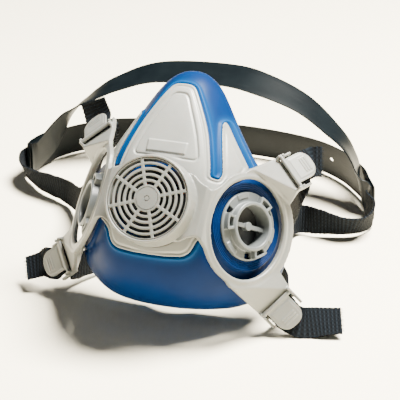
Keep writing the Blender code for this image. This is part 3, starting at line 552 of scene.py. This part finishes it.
# Shell and nose field as seen from the front
SHELL_HALF = ((0, 75.4), (4.5, 75.2), (7.4, 73.4), (10.4, 68.6), (13.3, 63.5), (16.6, 57.2), (19.5, 51.2),
              (22.1, 45), (24.0, 39), (25.8, 33), (27.4, 27), (28.6, 20), (33.4, 19.4), (34.2, 24),
              (32.4, 32), (30.2, 40), (27.9, 48), (26.2, 55), (27.0, 57), (29.4, 54), (34.4, 46),
              (39.4, 38.5), (43.6, 32), (42.6, 24), (40, 19), (36, 13), (36, -12), (31, -15), (27.6, -18.5),
              (26, -23.2), (24, -26.4), (20.3, -28.7), (11, -29.9), (0, -30.2))
SHELL_OUTLINE = fillet(mirrored(SHELL_HALF), 1.6, 3)
PANEL_HALF = ((0, 69.2), (3.4, 69.0), (5.6, 66.6), (9.0, 59.5), (12.8, 51.5), (16.2, 43.5), (19.0, 35.0),
              (20.2, 30.2), (18.6, 28.3), (0, 28.0))
PANEL_OUTLINE = fillet(mirrored(PANEL_HALF), 1.4, 3)
LIP_CENTRE = Vector((0, 66, 0))


def skin(name, lip, thickness, offset):
    """The face form as a smooth wall, with or without the rolled face seal."""
    bm = bmesh.new()
    rows = []
    for row in SKIN_CAGE:
        left = [(-x, y, z) for x, y, z in row[:0:-1]]
        rows.append([bm.verts.new(p) for p in left + list(row)])
    for upper, lower in zip(rows, rows[1:]):
        for k in range(len(upper) - 1):
            bm.faces.new((upper[k], upper[k + 1], lower[k + 1], lower[k]))
    # The face seal: one row turned inward and back, the next further in and slightly forward
    for pull, back in ((0.10, 4.0), (0.16, -1.0)) if lip else ():
        made = bmesh.ops.extrude_edge_only(bm, edges=[e for e in bm.edges if e.is_boundary])
        for v in made["geom"]:
            if isinstance(v, bmesh.types.BMVert):
                inward = LIP_CENTRE - v.co
                inward.y = 0
                v.co += inward * pull
                v.co.y += back
    item = thing(name, mesh_of(name, bm, MASK))
    smooth = item.modifiers.new("smooth", "SUBSURF")
    smooth.levels = smooth.render_levels = 3
    wall = item.modifiers.new("wall", "SOLIDIFY")
    wall.thickness = thickness * MM
    wall.offset = offset
    return item


def boss_profile(bore, face, floor, outer, skirt):
    """Half section of a moulded ring that carries a valve or an inlet."""
    low = face - floor
    return fillet([(bore, face), (bore, low), (outer - 3.6, low), (outer - 2.6, low - skirt),
                   (outer, low - skirt), (outer, face)], 0.9)


def facepiece():
    """Silicone body: a bead follows the shell's edge, with a painted glow in lighter blue along it and around
    the inlets.
    """
    item = skin("facepiece_skin", True, SKIN_WALL, -1.0)
    # Frame, bore, front face, floor thickness, outer radius and skirt depth of each boss
    bosses = [(FRONT, 17.8, -SKIN_FRONT, 2.6, 25.4, 5.0)]
    bosses += [(place, 16.3, PORT_FACE, 3.0, 26.6, 8.0) for place in PORTS.values()]
    for k, (place, bore, face, floor, outer, skirt) in enumerate(bosses):
        cut(item, disc(f"hole_{k}", outer - 1.3, face - 20.0, face + 12.0, place))
        cut(item, turned(f"boss_{k}", boss_profile(bore, face, floor, outer, skirt), place, 72), "UNION")
    bake(item)
    soften(item, 0.75, 4)
    seen, facing = points_of(item, FRONT)
    gap = outline_distance(seen[:, :2], SHELL_OUTLINE)
    outer = np.clip(facing[:, 2] * 4, 0, 1) * (seen[:, 2] > -60)
    rim = np.zeros(len(seen))
    open_side = np.ones(len(seen))
    for place in PORTS.values():
        near, _ = points_of(item, place)
        reach = np.hypot(near[:, 0], near[:, 1])
        level = np.clip(1 - np.abs(near[:, 2] - PORT_FACE) / 3.0, 0, 1)
        rim = np.maximum(rim, hump(reach, 25.8, 1.2) * level)
        open_side *= np.clip((reach - 29.5) / 2.5, 0, 1)
    bead = hump(gap, 1.3, 0.75) * outer * open_side
    push(item, 0.95 * bead)
    side, _ = points_of(item, MASK)
    # The thin weight lightens the blue: painted glow and highlight on the bead, a broad band beside the
    # shell's edge and a faint ring at each inlet rim; it also rises towards the face seal at the back.
    edge = np.clip((side[:, 1] - 74) / 16, 0, 1) * 0.5
    glow = hump(gap, 1.6, 2.6) * outer * open_side
    weight(item, "thin", np.clip(bead * 0.35 + glow * 0.45 + rim * 0.08 + edge, 0, 1))
    done(item, "silicone_blue", replaces=["facepiece"], angle=60)


def port_ridges():
    """Five fine rings moulded on the silicone around each inlet."""
    low, base, crest = PORT_FACE - 0.6, PORT_FACE + 0.02, PORT_FACE + 0.42
    profile = [(25.9, low)]
    for k in range(5):
        r = 26.2 - 1.15 * k
        profile += [(r, base), (r - 0.3, crest), (r - 0.75, crest)]
    profile += [(21.2, base), (21.2, low)]
    for side, place in PORTS.items():
        ridges = turned("port_ridges_" + SIDES[side], profile, place)
        # No painted glow on the ridges.
        weight(ridges, "thin", np.zeros(len(ridges.data.vertices)))
        done(ridges, "silicone_blue", angle=50)


def nose_shell():
    """Rigid shell: grooves along its rim and around the nose field, and a blank pad."""
    item = skin("shell_panel", False, SHELL_WALL, 1.0 + 2.0 * SHELL_GAP / SHELL_WALL)
    cut(item, slab("outline", SHELL_OUTLINE, -62.0, 0.0, FRONT), "INTERSECT")
    cut(item, disc("shell_hole", 25.8, -30.0, -8.0, FRONT))
    for k, place in enumerate(PORTS.values()):
        cut(item, disc(f"recess_{k}", 27.2, PORT_FACE - 24.0, PORT_FACE + 8.0, place))
    bake(item)
    soften(item, 0.42, 3)
    seen, facing = points_of(item, FRONT)
    inset = -outline_distance(seen[:, :2], SHELL_OUTLINE)
    outer = np.clip(facing[:, 2] * 5 - 0.5, 0, 1)
    ring = np.hypot(seen[:, 0], seen[:, 1])
    free = np.clip((ring - 28.5) / 2.0, 0, 1)
    field = outline_distance(seen[:, :2], PANEL_OUTLINE)
    front = outer * free * (seen[:, 2] > -45)
    groove = hump(inset, 1.6, 0.7) * outer * free + 1.5 * hump(field, 0.0, 0.6) * front
    lowered = np.clip(-field / 0.6, 0, 1) * front
    pad_x = np.clip((12.6 - np.abs(seen[:, 0])) / 0.8, 0, 1)
    pad_y = np.clip((3.9 - np.abs(seen[:, 1] - 34.4)) / 0.8, 0, 1)
    pad = pad_x * pad_y * outer * (seen[:, 2] > -34)
    push(item, -0.55 * groove - 0.35 * lowered + 0.75 * pad)
    done(item, "shell_grey", replaces=["nose_shell"], angle=60)


# ---------------------------------------------------------------- yoke, cover and connectors

def yoke():
    """The CAD yoke with rounded edges and a raised rim around each oval ring."""
    item = copy_of("yoke", "yoke_frame")
    soften(item, 0.5, 4)
    lift = np.zeros(len(item.data.vertices))
    half_wide, half_high, mean_radius = 28.5, 30.0, 29.2
    for place in RINGS.values():
        near, facing = points_of(item, place)
        out = (np.hypot(near[:, 0] / half_wide, near[:, 1] / half_high) - 1) * mean_radius
        top = (near[:, 2] > -1.6) & (near[:, 2] < 1.5) & (facing[:, 2] > 0.2)
        lift += np.where(top, 0.55 * hump(out, 1.3, 0.9), 0)
        lift -= np.where(top, 0.22 * hump(out, 3.6, 0.8), 0)
    push(item, lift)
    done(item, "yoke_grey", replaces=["yoke"], angle=60)


def cover():
    """Slotted outlet cover: five rings of slots between eight spokes, and a lined hub."""
    slots = (9.0, 12.4, 15.9, 19.4, 22.7)
    half_slot, half_spoke = 0.95, 0.9
    radii = [slots[0] - half_slot - 0.9]
    for middle in slots:
        radii += [middle - half_slot, middle + half_slot]
    radii.append(COVER_RADIUS)
    spokes = 8
    steps = 10
    bm = bmesh.new()
    rings = []
    for r in radii:
        ring = []
        for spoke in range(spokes):
            base = 2 * pi * (spoke + 0.5) / spokes
            edge = asin(half_spoke / r)
            open_angle = 2 * pi / spokes - 2 * edge
            turns = [base + edge + open_angle * k / steps for k in range(steps + 1)]
            ring += [(r * cos(t), r * sin(t)) for t in turns]
        rings.append([bm.verts.new((x, y, 0.55 * (1 - (r / COVER_RADIUS) ** 2))) for x, y in ring])
    count = len(rings[0])
    hub = [bm.verts.new((0.62 * v.co.x, 0.62 * v.co.y, 0.58)) for v in rings[0]]
    bm.faces.new(hub)
    for k in range(count):
        after = (k + 1) % count
        bm.faces.new((hub[k], hub[after], rings[0][after], rings[0][k]))
    for i in range(len(radii) - 1):
        for k in range(count):
            in_slot = i % 2 == 1 and i < len(radii) - 2
            if in_slot and k % (steps + 1) != steps:
                continue
            after = (k + 1) % count
            bm.faces.new((rings[i][k], rings[i][after], rings[i + 1][after], rings[i + 1][k]))
    place = YOKE_FRONT @ Matrix.Translation((0, 0, -0.7 * MM))
    item = thing("cover_grille", mesh_of("cover_grille", bm, place))
    wall = item.modifiers.new("thickness", "SOLIDIFY")
    wall.thickness = 2.0 * MM
    wall.offset = -1.0
    edge = item.modifiers.new("edge", "BEVEL")
    edge.width = 0.32 * MM
    edge.segments = 2
    edge.limit_method = "ANGLE"
    edge.angle_limit = radians(50)
    bake(item)
    for low, high in ((1.2, 1.75), (6.5, 7.0)):
        line = [(low, -0.5), (high, -0.5), (high, 1.5), (low, 1.5)]
        cut(item, turned("hub_line", line, YOKE_FRONT, 48))
    bake(item)
    done(item, "yoke_grey", replaces=["exhalation_cover"], angle=40)


def connector(side):
    """Bayonet inlet: tube and flange, three lock lugs with a pocket and a foot each, a bar inside."""
    name = "inlet_connector_" + SIDES[side]
    place = PORTS[side]
    low, top = PORT_FACE - 3.0, PORT_FACE + 0.3
    # Tube rim, flange, neck through the boss and collar behind it
    profile = [(12.4, 1.4), (12.8, 1.9), (14.1, 1.9), (14.6, 1.4), (14.6, top + 1.9), (20.0, top + 1.9),
               (20.6, top + 1.3), (20.6, top), (16.0, top), (16.0, low - 0.3), (18.6, low - 0.3),
               (18.6, low - 1.7), (12.4, low - 1.7)]
    item = turned(name + "_body", fillet(profile, 0.35, 2), place, 96)
    for k in range(3):
        angle = 62.0 + 120.0 * k
        for part, outline, base, crest, operation in (
                ("lug", sector(13.9, 19.4, angle - 15, angle + 15), top + 1.0, 0.9, "UNION"),
                ("lug_slot", sector(15.2, 18.1, angle - 10, angle + 10), top + 2.2, 2.0, "DIFFERENCE"),
                ("pocket", sector(15.2, 19.2, angle - 31, angle - 17), top - 1.0, top + 3.0, "DIFFERENCE"),
                ("foot", sector(17.0, 20.2, angle + 40, angle + 66), top + 1.0, top + 2.6, "UNION")):
            cut(item, slab(f"{part}_{k}", outline, base, crest, place), operation)
    cut(item, block("bar", (-12.9, -1.3, -6.0), (12.9, 1.3, -3.4), place), "UNION")
    cut(item, disc("nub", 2.6, -6.4, -2.6, place, 32), "UNION")
    cut(item, disc("stem_hole", 1.6, -9.0, -3.6, place, 24))
    bake(item)
    soften(item, 0.33, 2)
    done(item, "connector_grey", replaces=[name], angle=45)


# ---------------------------------------------------------------- buckles and clasp

def lever(level, side):
    """Cam lever with a rounded grip end, a fold line and three finger ridges."""
    tag = f"{level}_{SIDES[side]}"
    name = "buckle_lever_" + tag
    tilt = radians({"upper": 5, "lower": 8}[level])
    place = (buckle_frame(level, side) @ Matrix.Translation(Vector((0, 1.0, 3.8)) * MM)
             @ Matrix.Rotation(tilt, 4, "X"))
    half, root, corner = 8.5, -1.1, 7.0
    shoulder = 17.5 - corner
    outline = [(-half, root), (half, root), (half, shoulder)]
    outline += arc(corner, 15, 90, 10, (half - corner, shoulder))
    outline += arc(corner, 90, 165, 10, (corner - half, shoulder))
    outline += [(-half, shoulder)]
    item = slab(name + "_plate", outline, -0.75, 0.55, place)
    inner = [(x * 0.8, 3.2 + (y - root) * 0.76) for x, y in outline]
    cut(item, slab("field", inner, 0.4, 0.8, place), "UNION")
    for k in range(3):
        y = 9.2 + 1.9 * k
        cut(item, block(f"ridge_{k}", (-4.6, y, 0.3), (4.6, y + 0.9, 1.15), place), "UNION")
    cut(item, block("fold", (-9.0, 1.9, 0.3), (9.0, 2.5, 1.0), place))
    along_bar = place @ Matrix.Rotation(pi / 2, 4, "Y")
    cut(item, disc("trunnion", 1.2, -11.9, 11.9, along_bar, 24), "UNION")
    bake(item)
    soften(item, 0.26, 2)
    done(item, "yoke_grey", body="lever_" + tag, replaces=[name], angle=45)


def clasp():
    for node in ("neck_clasp_loop", "neck_clasp_hook"):
        item = copy_of(node, node + "_part")
        soften(item, 0.3, 2)
        done(item, "yoke_grey", replaces=[node], angle=45)


# ---------------------------------------------------------------- straps and bands

def smooth_path(stations, per_span):
    """Catmull-Rom samples through stations, each a place and the direction of the width."""
    samples = []
    last = len(stations) - 1
    for i in range(last):
        ring = [stations[max(i - 1, 0)], stations[i], stations[i + 1], stations[min(i + 2, last)]]
        for k in range(per_span):
            t = k / per_span
            weights = (
                (-t + 2 * t * t - t ** 3) / 2,
                (2 - 5 * t * t + 3 * t ** 3) / 2,
                (t + 4 * t * t - 3 * t ** 3) / 2,
                (-t * t + t ** 3) / 2,
            )
            samples.append(tuple(sum((w * s[j] for w, s in zip(weights, ring)), Vector()) for j in (0, 1)))
    samples.append(stations[last])
    return samples


def buckle_loop(place, tail, straight, leave, flip):
    """Strap stations from the tail's end, over the strap bar and out below the arm."""
    across = (place.to_3x3() @ Vector((flip, 0, 0))).normalized()
    reach = 2.45
    bar_y, bar_z = 5.0, -0.6
    steps = [(dy, reach) for dy in (straight, 7.0, 2.0, 0.0)]
    steps += [(reach * cos(radians(angle)), reach * sin(radians(angle))) for angle in (135, 180, 225)]
    steps += leave
    return tail + [(in_world(place, 0.0, bar_y + dy, bar_z + dz), across) for dy, dz in steps]


DOWN = Vector((0, 0, -1))
# Stations in world millimetres: middle of the strip and the direction of its width.
# A tail runs from its free end to its buckle, a run from a buckle to a band or the clasp.
TAILS = {
    "upper_right": (((115.3, -54.5, 93.8), (0.65, -0.11, -0.76)), ((110.8, -56.5, 94), (0.66, -0.15, -0.74))),
    "lower_right": (((140.8, -93, 8.8), (-0.25, -0.85, -0.42)), ((128.8, -97.5, 8.4), (-0.3, -0.8, -0.52)),
                    ((119.3, -102.2, 8.5), (-0.52, -0.6, -0.61))),
    "upper_left": (((-36.7, -49, 112.8), (-0.80, 0.1, -0.56)), ((-34.2, -50, 107.3), (-0.80, 0.0, -0.58))),
    "lower_left": (((-65.2, -96, 13.2), (0.35, -0.8, -0.42)), ((-57.7, -93.5, 15.7), (0.38, -0.78, -0.5)),
                   ((-52.1, -94.4, 19.2), (0.5, -0.62, -0.6))),
}
RIGHT_RUN = (((102.3, -59, 72.8), (0, 0, -1)), ((92.3, -39, 52.8), (0, 0, -1)),
             ((82.3, -17, 36.8), (0, -0.2, -1)),
             ((72.3, 11, 18.2), (0, -0.4, -1)), ((72.8, 37.7, 11.1), (0, -0.39, -0.92)),
             ((86.4, 36.5, 11.8), (0, 0.08, -1)),
             ((103, 37.2, 10.6), (-0.1, 0.5, -0.86)), ((112.8, 42.4, 10.2), (-0.35, 0.45, -0.8)),
             ((117, 52, 11), (-0.3, 0.2, -0.93)), ((116.8, 61, 11.7), (-0.1, 0, -1)),
             ((114.2, 66.6, 11.8), (0, 0, -1)),
             ((110.1, 71.8, 11.8), (0, 0, -1)), ((107.4, 76.8, 11.9), (0, 0, -1)))
LEFT_RUN = (((-35.7, -46, 60.8), (0, 0, -1)), ((-49.7, -27, 40.8), (0, 0, -1)),
            ((-68.7, 1, 19.2), (0, 0, -1)), ((-87.6, 25.3, 11.7), (0, 0, -1)),
            ((-99.6, 32.8, 11.6), (0.08, 0.14, -0.99)),
            ((-120.8, 42.6, 11.1), (0.19, 0.33, -0.93)), ((-133.7, 53.6, 10.4), (0.3, 0.35, -0.88)),
            ((-141, 64.3, 11.4), (0.2, 0.05, -0.97)), ((-142, 75, 11.8), (0, 0, -1)),
            ((-140.9, 85, 11.9), (0, 0, -1)), ((-137.8, 96, 12), (0, 0, -1)))
UPPER_RUNS = {"right": RIGHT_RUN, "left": LEFT_RUN}
# The lower straps stand on edge, so they need no direction
LOWER_RUNS = {
    "right": ((104.3, -85, 11.7), (96.3, -63, 11.7), (83.3, -46, 11.7), (72.3, -30, 11.7),
              (62.3, -22.4, 11.7)),
    "left": ((-35.7, -83, 14.2), (-25.7, -61, 12.7), (-9.7, -43, 11.7), (0.3, -30, 11.7),
             (10.3, -22.4, 11.7)),
}
# Lower strap around the end bar of its clasp half, as (x, z) in the clasp frame
CLASP_WRAP = ((18.5, 1.7), (15.0, 2.1), (12.4, 2.0), (10.95, 1.1), (10.7, 0.0), (10.95, -1.1), (12.4, -2.0),
              (15.0, -2.1), (18.5, -1.6), (27.0, -0.7))
REAR_BAND = (((-139.1, 69, 13.8), (0, 0, 1)), ((-139.5, 77, 13.8), (0, 0, 1)),
             ((-137.9, 87, 13.8), (0, 0, 1)),
             ((-134.5, 97, 13.8), (0.03, -0.05, 1)), ((-129.5, 107.5, 13.6), (0.15, -0.2, 1)),
             ((-118.2, 123, 13.6), (0.15, -0.25, 1)), ((-98.2, 138, 13.8), (0, -0.25, 1)),
             ((-58.2, 150, 13.8), (0, -0.2, 1)),
             ((-8.2, 154, 13.8), (0, -0.2, 1)), ((26.8, 151, 13.8), (0, -0.2, 1)),
             ((53.8, 143, 13.8), (0, -0.15, 1)), ((74.8, 129.5, 13.8), (0, -0.1, 1)),
             ((89.8, 113.5, 13.8), (0, -0.05, 1)), ((99.3, 101, 13.8), (0, 0, 1)),
             ((105.8, 88, 13.8), (0, 0, 1)), ((109.9, 80.4, 13.8), (0, 0, 1)),
             ((113.8, 73, 13.8), (0, 0, 1)))
CROWN_BAND = (((-136.8, 69.5, 14), (0, 0, 1)), ((-136.4, 73, 14.1), (0.03, -0.15, 0.98)),
              ((-134.4, 77.5, 15.5), (0.03, -0.5, 0.86)), ((-131.4, 83, 19.4), (-0.02, -0.61, 0.79)),
              ((-128.5, 87.7, 24.2), (-0.01, -0.63, 0.77)), ((-125.8, 93.8, 30.2), (0.07, -0.72, 0.69)),
              ((-123, 98.5, 35.5), (0.15, -0.81, 0.56)), ((-119.4, 102.9, 40.1), (0.29, -0.85, 0.44)),
              ((-114.1, 107.1, 45.2), (0.36, -0.89, 0.29)), ((-107.8, 110.6, 49.2), (0.4, -0.9, 0.17)),
              ((-101.4, 114, 53.5), (0.43, -0.9, 0.07)), ((-88.6, 119.8, 60), (0.46, -0.88, -0.06)),
              ((-61.2, 127.6, 68.6), (0.2, -0.93, -0.28)), ((-9.2, 120, 75.2), (-0.08, -0.94, -0.33)),
              ((21.3, 113.2, 73.7), (-0.12, -0.95, -0.29)), ((51.8, 110, 64.1), (-0.08, -0.99, -0.12)),
              ((76.4, 105, 48.1), (-0.12, -0.98, 0.15)), ((88, 100, 38.5), (0, -0.95, 0.3)),
              ((93.8, 95.5, 31.4), (0.05, -0.92, 0.38)), ((97.4, 90.8, 23.6), (0.08, -0.75, 0.65)),
              ((102.6, 85.2, 16.8), (0.03, -0.35, 0.93)), ((107.9, 79.7, 14.2), (0, -0.05, 1)),
              ((111.7, 72.8, 13.9), (0, 0, 1)))


def cross_section(centre, side, up, half, thickness, columns, puff):
    """Places and their u around a strip's flat section with thinner edges."""
    ring = []
    for face in (-1, 1):
        for k in range(columns + 1):
            t = -face * ((k / columns) * 2 - 1)
            thin = thickness / 2 * (1 - puff * t ** 6)
            ring.append((centre + side * (half * t) + up * (face * thin), (t + 1) / 2))
    return ring


def uv_face(bm, uv, corners):
    """A face from (vertex, u, v) corners."""
    made = bm.faces.new([corner[0] for corner in corners])
    for loop, (_, u, v) in zip(made.loops, corners):
        loop[uv].uv = (u, v)


def fray(bm, uv, end, width, thickness, noise):
    """Short loose threads out of a cut end."""
    centre, side, up, out, y = end
    for _ in range(THREADS):
        t = noise.uniform(-0.98, 0.98)
        start = centre + side * (t * width / 2) + up * noise.uniform(-0.5, 0.5) * thickness - out
        bend = side * noise.uniform(-0.9, 0.9) + up * noise.uniform(-0.8, 0.8) + Vector((0, 0, -0.15))
        length = noise.uniform(0.4, 1.7) * (1.5 if noise.uniform() > 0.85 else 1.0)
        wide = side * noise.uniform(0.09, 0.2)
        deep = up * 0.12
        last = None
        for step in range(4):
            s = step / 3
            at = start + out * (s + length * s) + bend * (length * 0.35 * s * s)
            slim = 1 - 0.7 * s
            ring = [bm.verts.new(at + edge * slim) for edge in (wide, deep, -wide, -deep)]
            if last:
                for k in range(4):
                    n = (k + 1) % 4
                    uv_face(bm, uv, [(v, (t + 1) / 2, y + s) for v in (last[k], last[n], ring[n], ring[k])])
            else:
                bm.faces.new(ring)
            last = ring
        bm.faces.new(last[::-1])


def strip(name, stations, width, thickness, slot, per_span, replaces, toothed=0.0, columns=8, puff=0.15,
          frayed=(), hole=None):
    """A flat strip along stations; UV is across (0 to 1) and along in mm. 0 and 1 name the ends to fray."""
    samples = smooth_path(stations, per_span)
    bm = bmesh.new()
    uv = bm.loops.layers.uv.new("UVMap")
    rings, marks, frames = [], [], []
    along = 0.0
    for i, (centre, across) in enumerate(samples):
        before = samples[max(i - 1, 0)][0]
        after = samples[min(i + 1, len(samples) - 1)][0]
        if i:
            along += (centre - before).length
        ahead = (after - before).normalized()
        side = (across - ahead * across.dot(ahead)).normalized()
        up = ahead.cross(side).normalized()
        wobble = toothed * (sin(along * 2 * pi / 2.3) + 0.5 * sin(along * 2 * pi / 1.7 + 1.3))
        half = width / 2 - toothed + wobble
        ring = cross_section(centre, side, up, half, thickness, columns, puff)
        rings.append([(bm.verts.new(place), u) for place, u in ring])
        marks.append(along)
        frames.append((centre, side, up, ahead if i else -ahead, along))
    count = len(rings[0])
    for ring, after, y, y_after in zip(rings, rings[1:], marks, marks[1:]):
        for k in range(count):
            n = (k + 1) % count
            uv_face(bm, uv, [(*ring[k], y), (*ring[n], y), (*after[n], y_after), (*after[k], y_after)])
    for ring, y in ((rings[0], marks[0]), (rings[-1], marks[-1])):
        for k in range(columns):
            corners = (ring[k], ring[k + 1], ring[count - 2 - k], ring[count - 1 - k])
            uv_face(bm, uv, [(*corner, y) for corner in corners])
    noise = np.random.default_rng(THREAD_SEED)
    for end in frayed:
        fray(bm, uv, frames[-end], width, thickness, noise)
    item = thing(name, mesh_of(name, bm))
    if hole is not None:
        cut(item, disc(name + "_hole", EYELET_RADIUS, -6.0, 6.0, hole, 32))
        bake(item)
    done(item, slot, replaces=replaces, angle=55)


def vectors(table):
    return [(Vector(place), Vector(across)) for place, across in table]


def straps():
    """Four webbing straps, each from its tail through its buckle to a head band or the neck clasp."""
    upper_leave, lower_leave = [(3.5, -2.7), (9.0, -4.0)], [(1.5, -3.6), (4.5, -6.0)]
    for side, name in SIDES.items():
        for level, straight, leave in (("upper", 15.5, upper_leave), ("lower", 9.5, lower_leave)):
            tag = level + "_" + name
            stations = buckle_loop(buckle_frame(level, side), vectors(TAILS[tag]), straight, leave, side)
            if level == "upper":
                stations += vectors(UPPER_RUNS[name])
            else:
                stations += [(Vector(p), DOWN) for p in LOWER_RUNS[name]]
                stations += [(in_world(CLASP, side * x, 0.0, z), DOWN) for x, z in CLASP_WRAP]
            strip(tag + "_webbing", stations, WEBBING_WIDTH, WEBBING_THICKNESS, "webbing_black", 12,
                  [tag + "_strap"], toothed=0.22, frayed=(0, 1) if level == "upper" else (0,))


def bands():
    for node, table, hole in (("rear_band", REAR_BAND, EYELET), ("crown_band", CROWN_BAND, None)):
        strip(node + "_strip", vectors(table), BAND_WIDTH, BAND_THICKNESS, "band_black", 10, [node],
              columns=10, puff=0.45, hole=hole)


def valves():
    """The flaps and the outlet seat stay the CAD's own solids."""
    for node in ("exhalation_valve_seat", "exhalation_valve_flap", "inhalation_valve_flap_right",
                 "inhalation_valve_flap_left"):
        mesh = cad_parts[node].data
        mesh.materials.clear()
        # The seat takes the dark rubber too, as painted shade behind the cover's slots.
        mesh.materials.append(MATS["valve_rubber"])


# ---------------------------------------------------------------- stage, light and camera

def stage():
    """A plain cream floor."""
    bpy.ops.mesh.primitive_plane_add(size=6.0, location=(0.0, 0.6, 0.0))
    floor = bpy.context.object
    floor.name = "floor"
    looks = Looks("floor_cream", (0.95, 0.89, 0.72), 0.7)
    drift = looks.noise(3.0, 3.0)
    looks.colour(looks.ramp(drift, ((0.3, (0.94, 0.87, 0.69)), (0.7, (0.98, 0.91, 0.73)))))
    looks.bump(looks.noise(900.0, 2.0), 0.05, 0.0002)
    looks.set(Specular_IOR_Level=0.25)
    floor.data.materials.append(looks.made)


def area_light(name, place, target, size, power, colour):
    made = bpy.data.lights.new(name, "AREA")
    made.shape = "DISK"
    made.size = size
    made.energy = power
    made.color = colour
    item = bpy.data.objects.new(name, made)
    bpy.context.scene.collection.objects.link(item)
    item.location = place
    item.rotation_euler = (Vector(target) - Vector(place)).to_track_quat("-Z", "Y").to_euler()


def surroundings():
    """A faint sky for the light, and a pale backdrop where the floor ends."""
    world = bpy.data.worlds.new("studio")
    world.use_nodes = True
    nodes, links = world.node_tree.nodes, world.node_tree.links
    sky = nodes["Background"]
    sky.inputs["Color"].default_value = (0.93, 0.96, 1.0, 1)
    sky.inputs["Strength"].default_value = 0.06
    backdrop = nodes.new("ShaderNodeBackground")
    backdrop.inputs["Color"].default_value = (0.93, 0.91, 0.86, 1)
    seen = nodes.new("ShaderNodeLightPath")
    both = nodes.new("ShaderNodeMixShader")
    links.new(seen.outputs["Is Camera Ray"], both.inputs[0])
    links.new(sky.outputs[0], both.inputs[1])
    links.new(backdrop.outputs[0], both.inputs[2])
    links.new(both.outputs[0], nodes["World Output"].inputs[0])
    bpy.context.scene.world = world


def lights():
    """A warm key above and behind on the right, and a weak cool fill in front."""
    area_light("key_soft", place=(0.44, 0.17, 1.24), target=(0.0, -0.05, 0.05),
               size=0.6, power=190.0, colour=(1.0, 0.96, 0.87))
    area_light("fill_front", place=(-0.5, -1.2, 0.9), target=(0.0, -0.05, 0.06),
               size=0.8, power=2.5, colour=(0.93, 0.97, 1.0))


def camera():
    """The photograph's viewing angle, with a long lens."""
    lens = bpy.data.cameras.new("view")
    lens.lens = EYE_LENS
    lens.sensor_width = 36.0
    lens.clip_end = 20.0
    eye = bpy.data.objects.new("view", lens)
    bpy.context.scene.collection.objects.link(eye)
    eye.location = EYE_PLACE
    eye.rotation_euler = [radians(angle) for angle in EYE_TURN]
    bpy.context.scene.camera = eye


facepiece()
port_ridges()
nose_shell()
yoke()
cover()
for each in SIDES:
    connector(each)
    for tier in BUCKLES:
        lever(tier, each)
clasp()
straps()
bands()
valves()
stage()
surroundings()
lights()
camera()
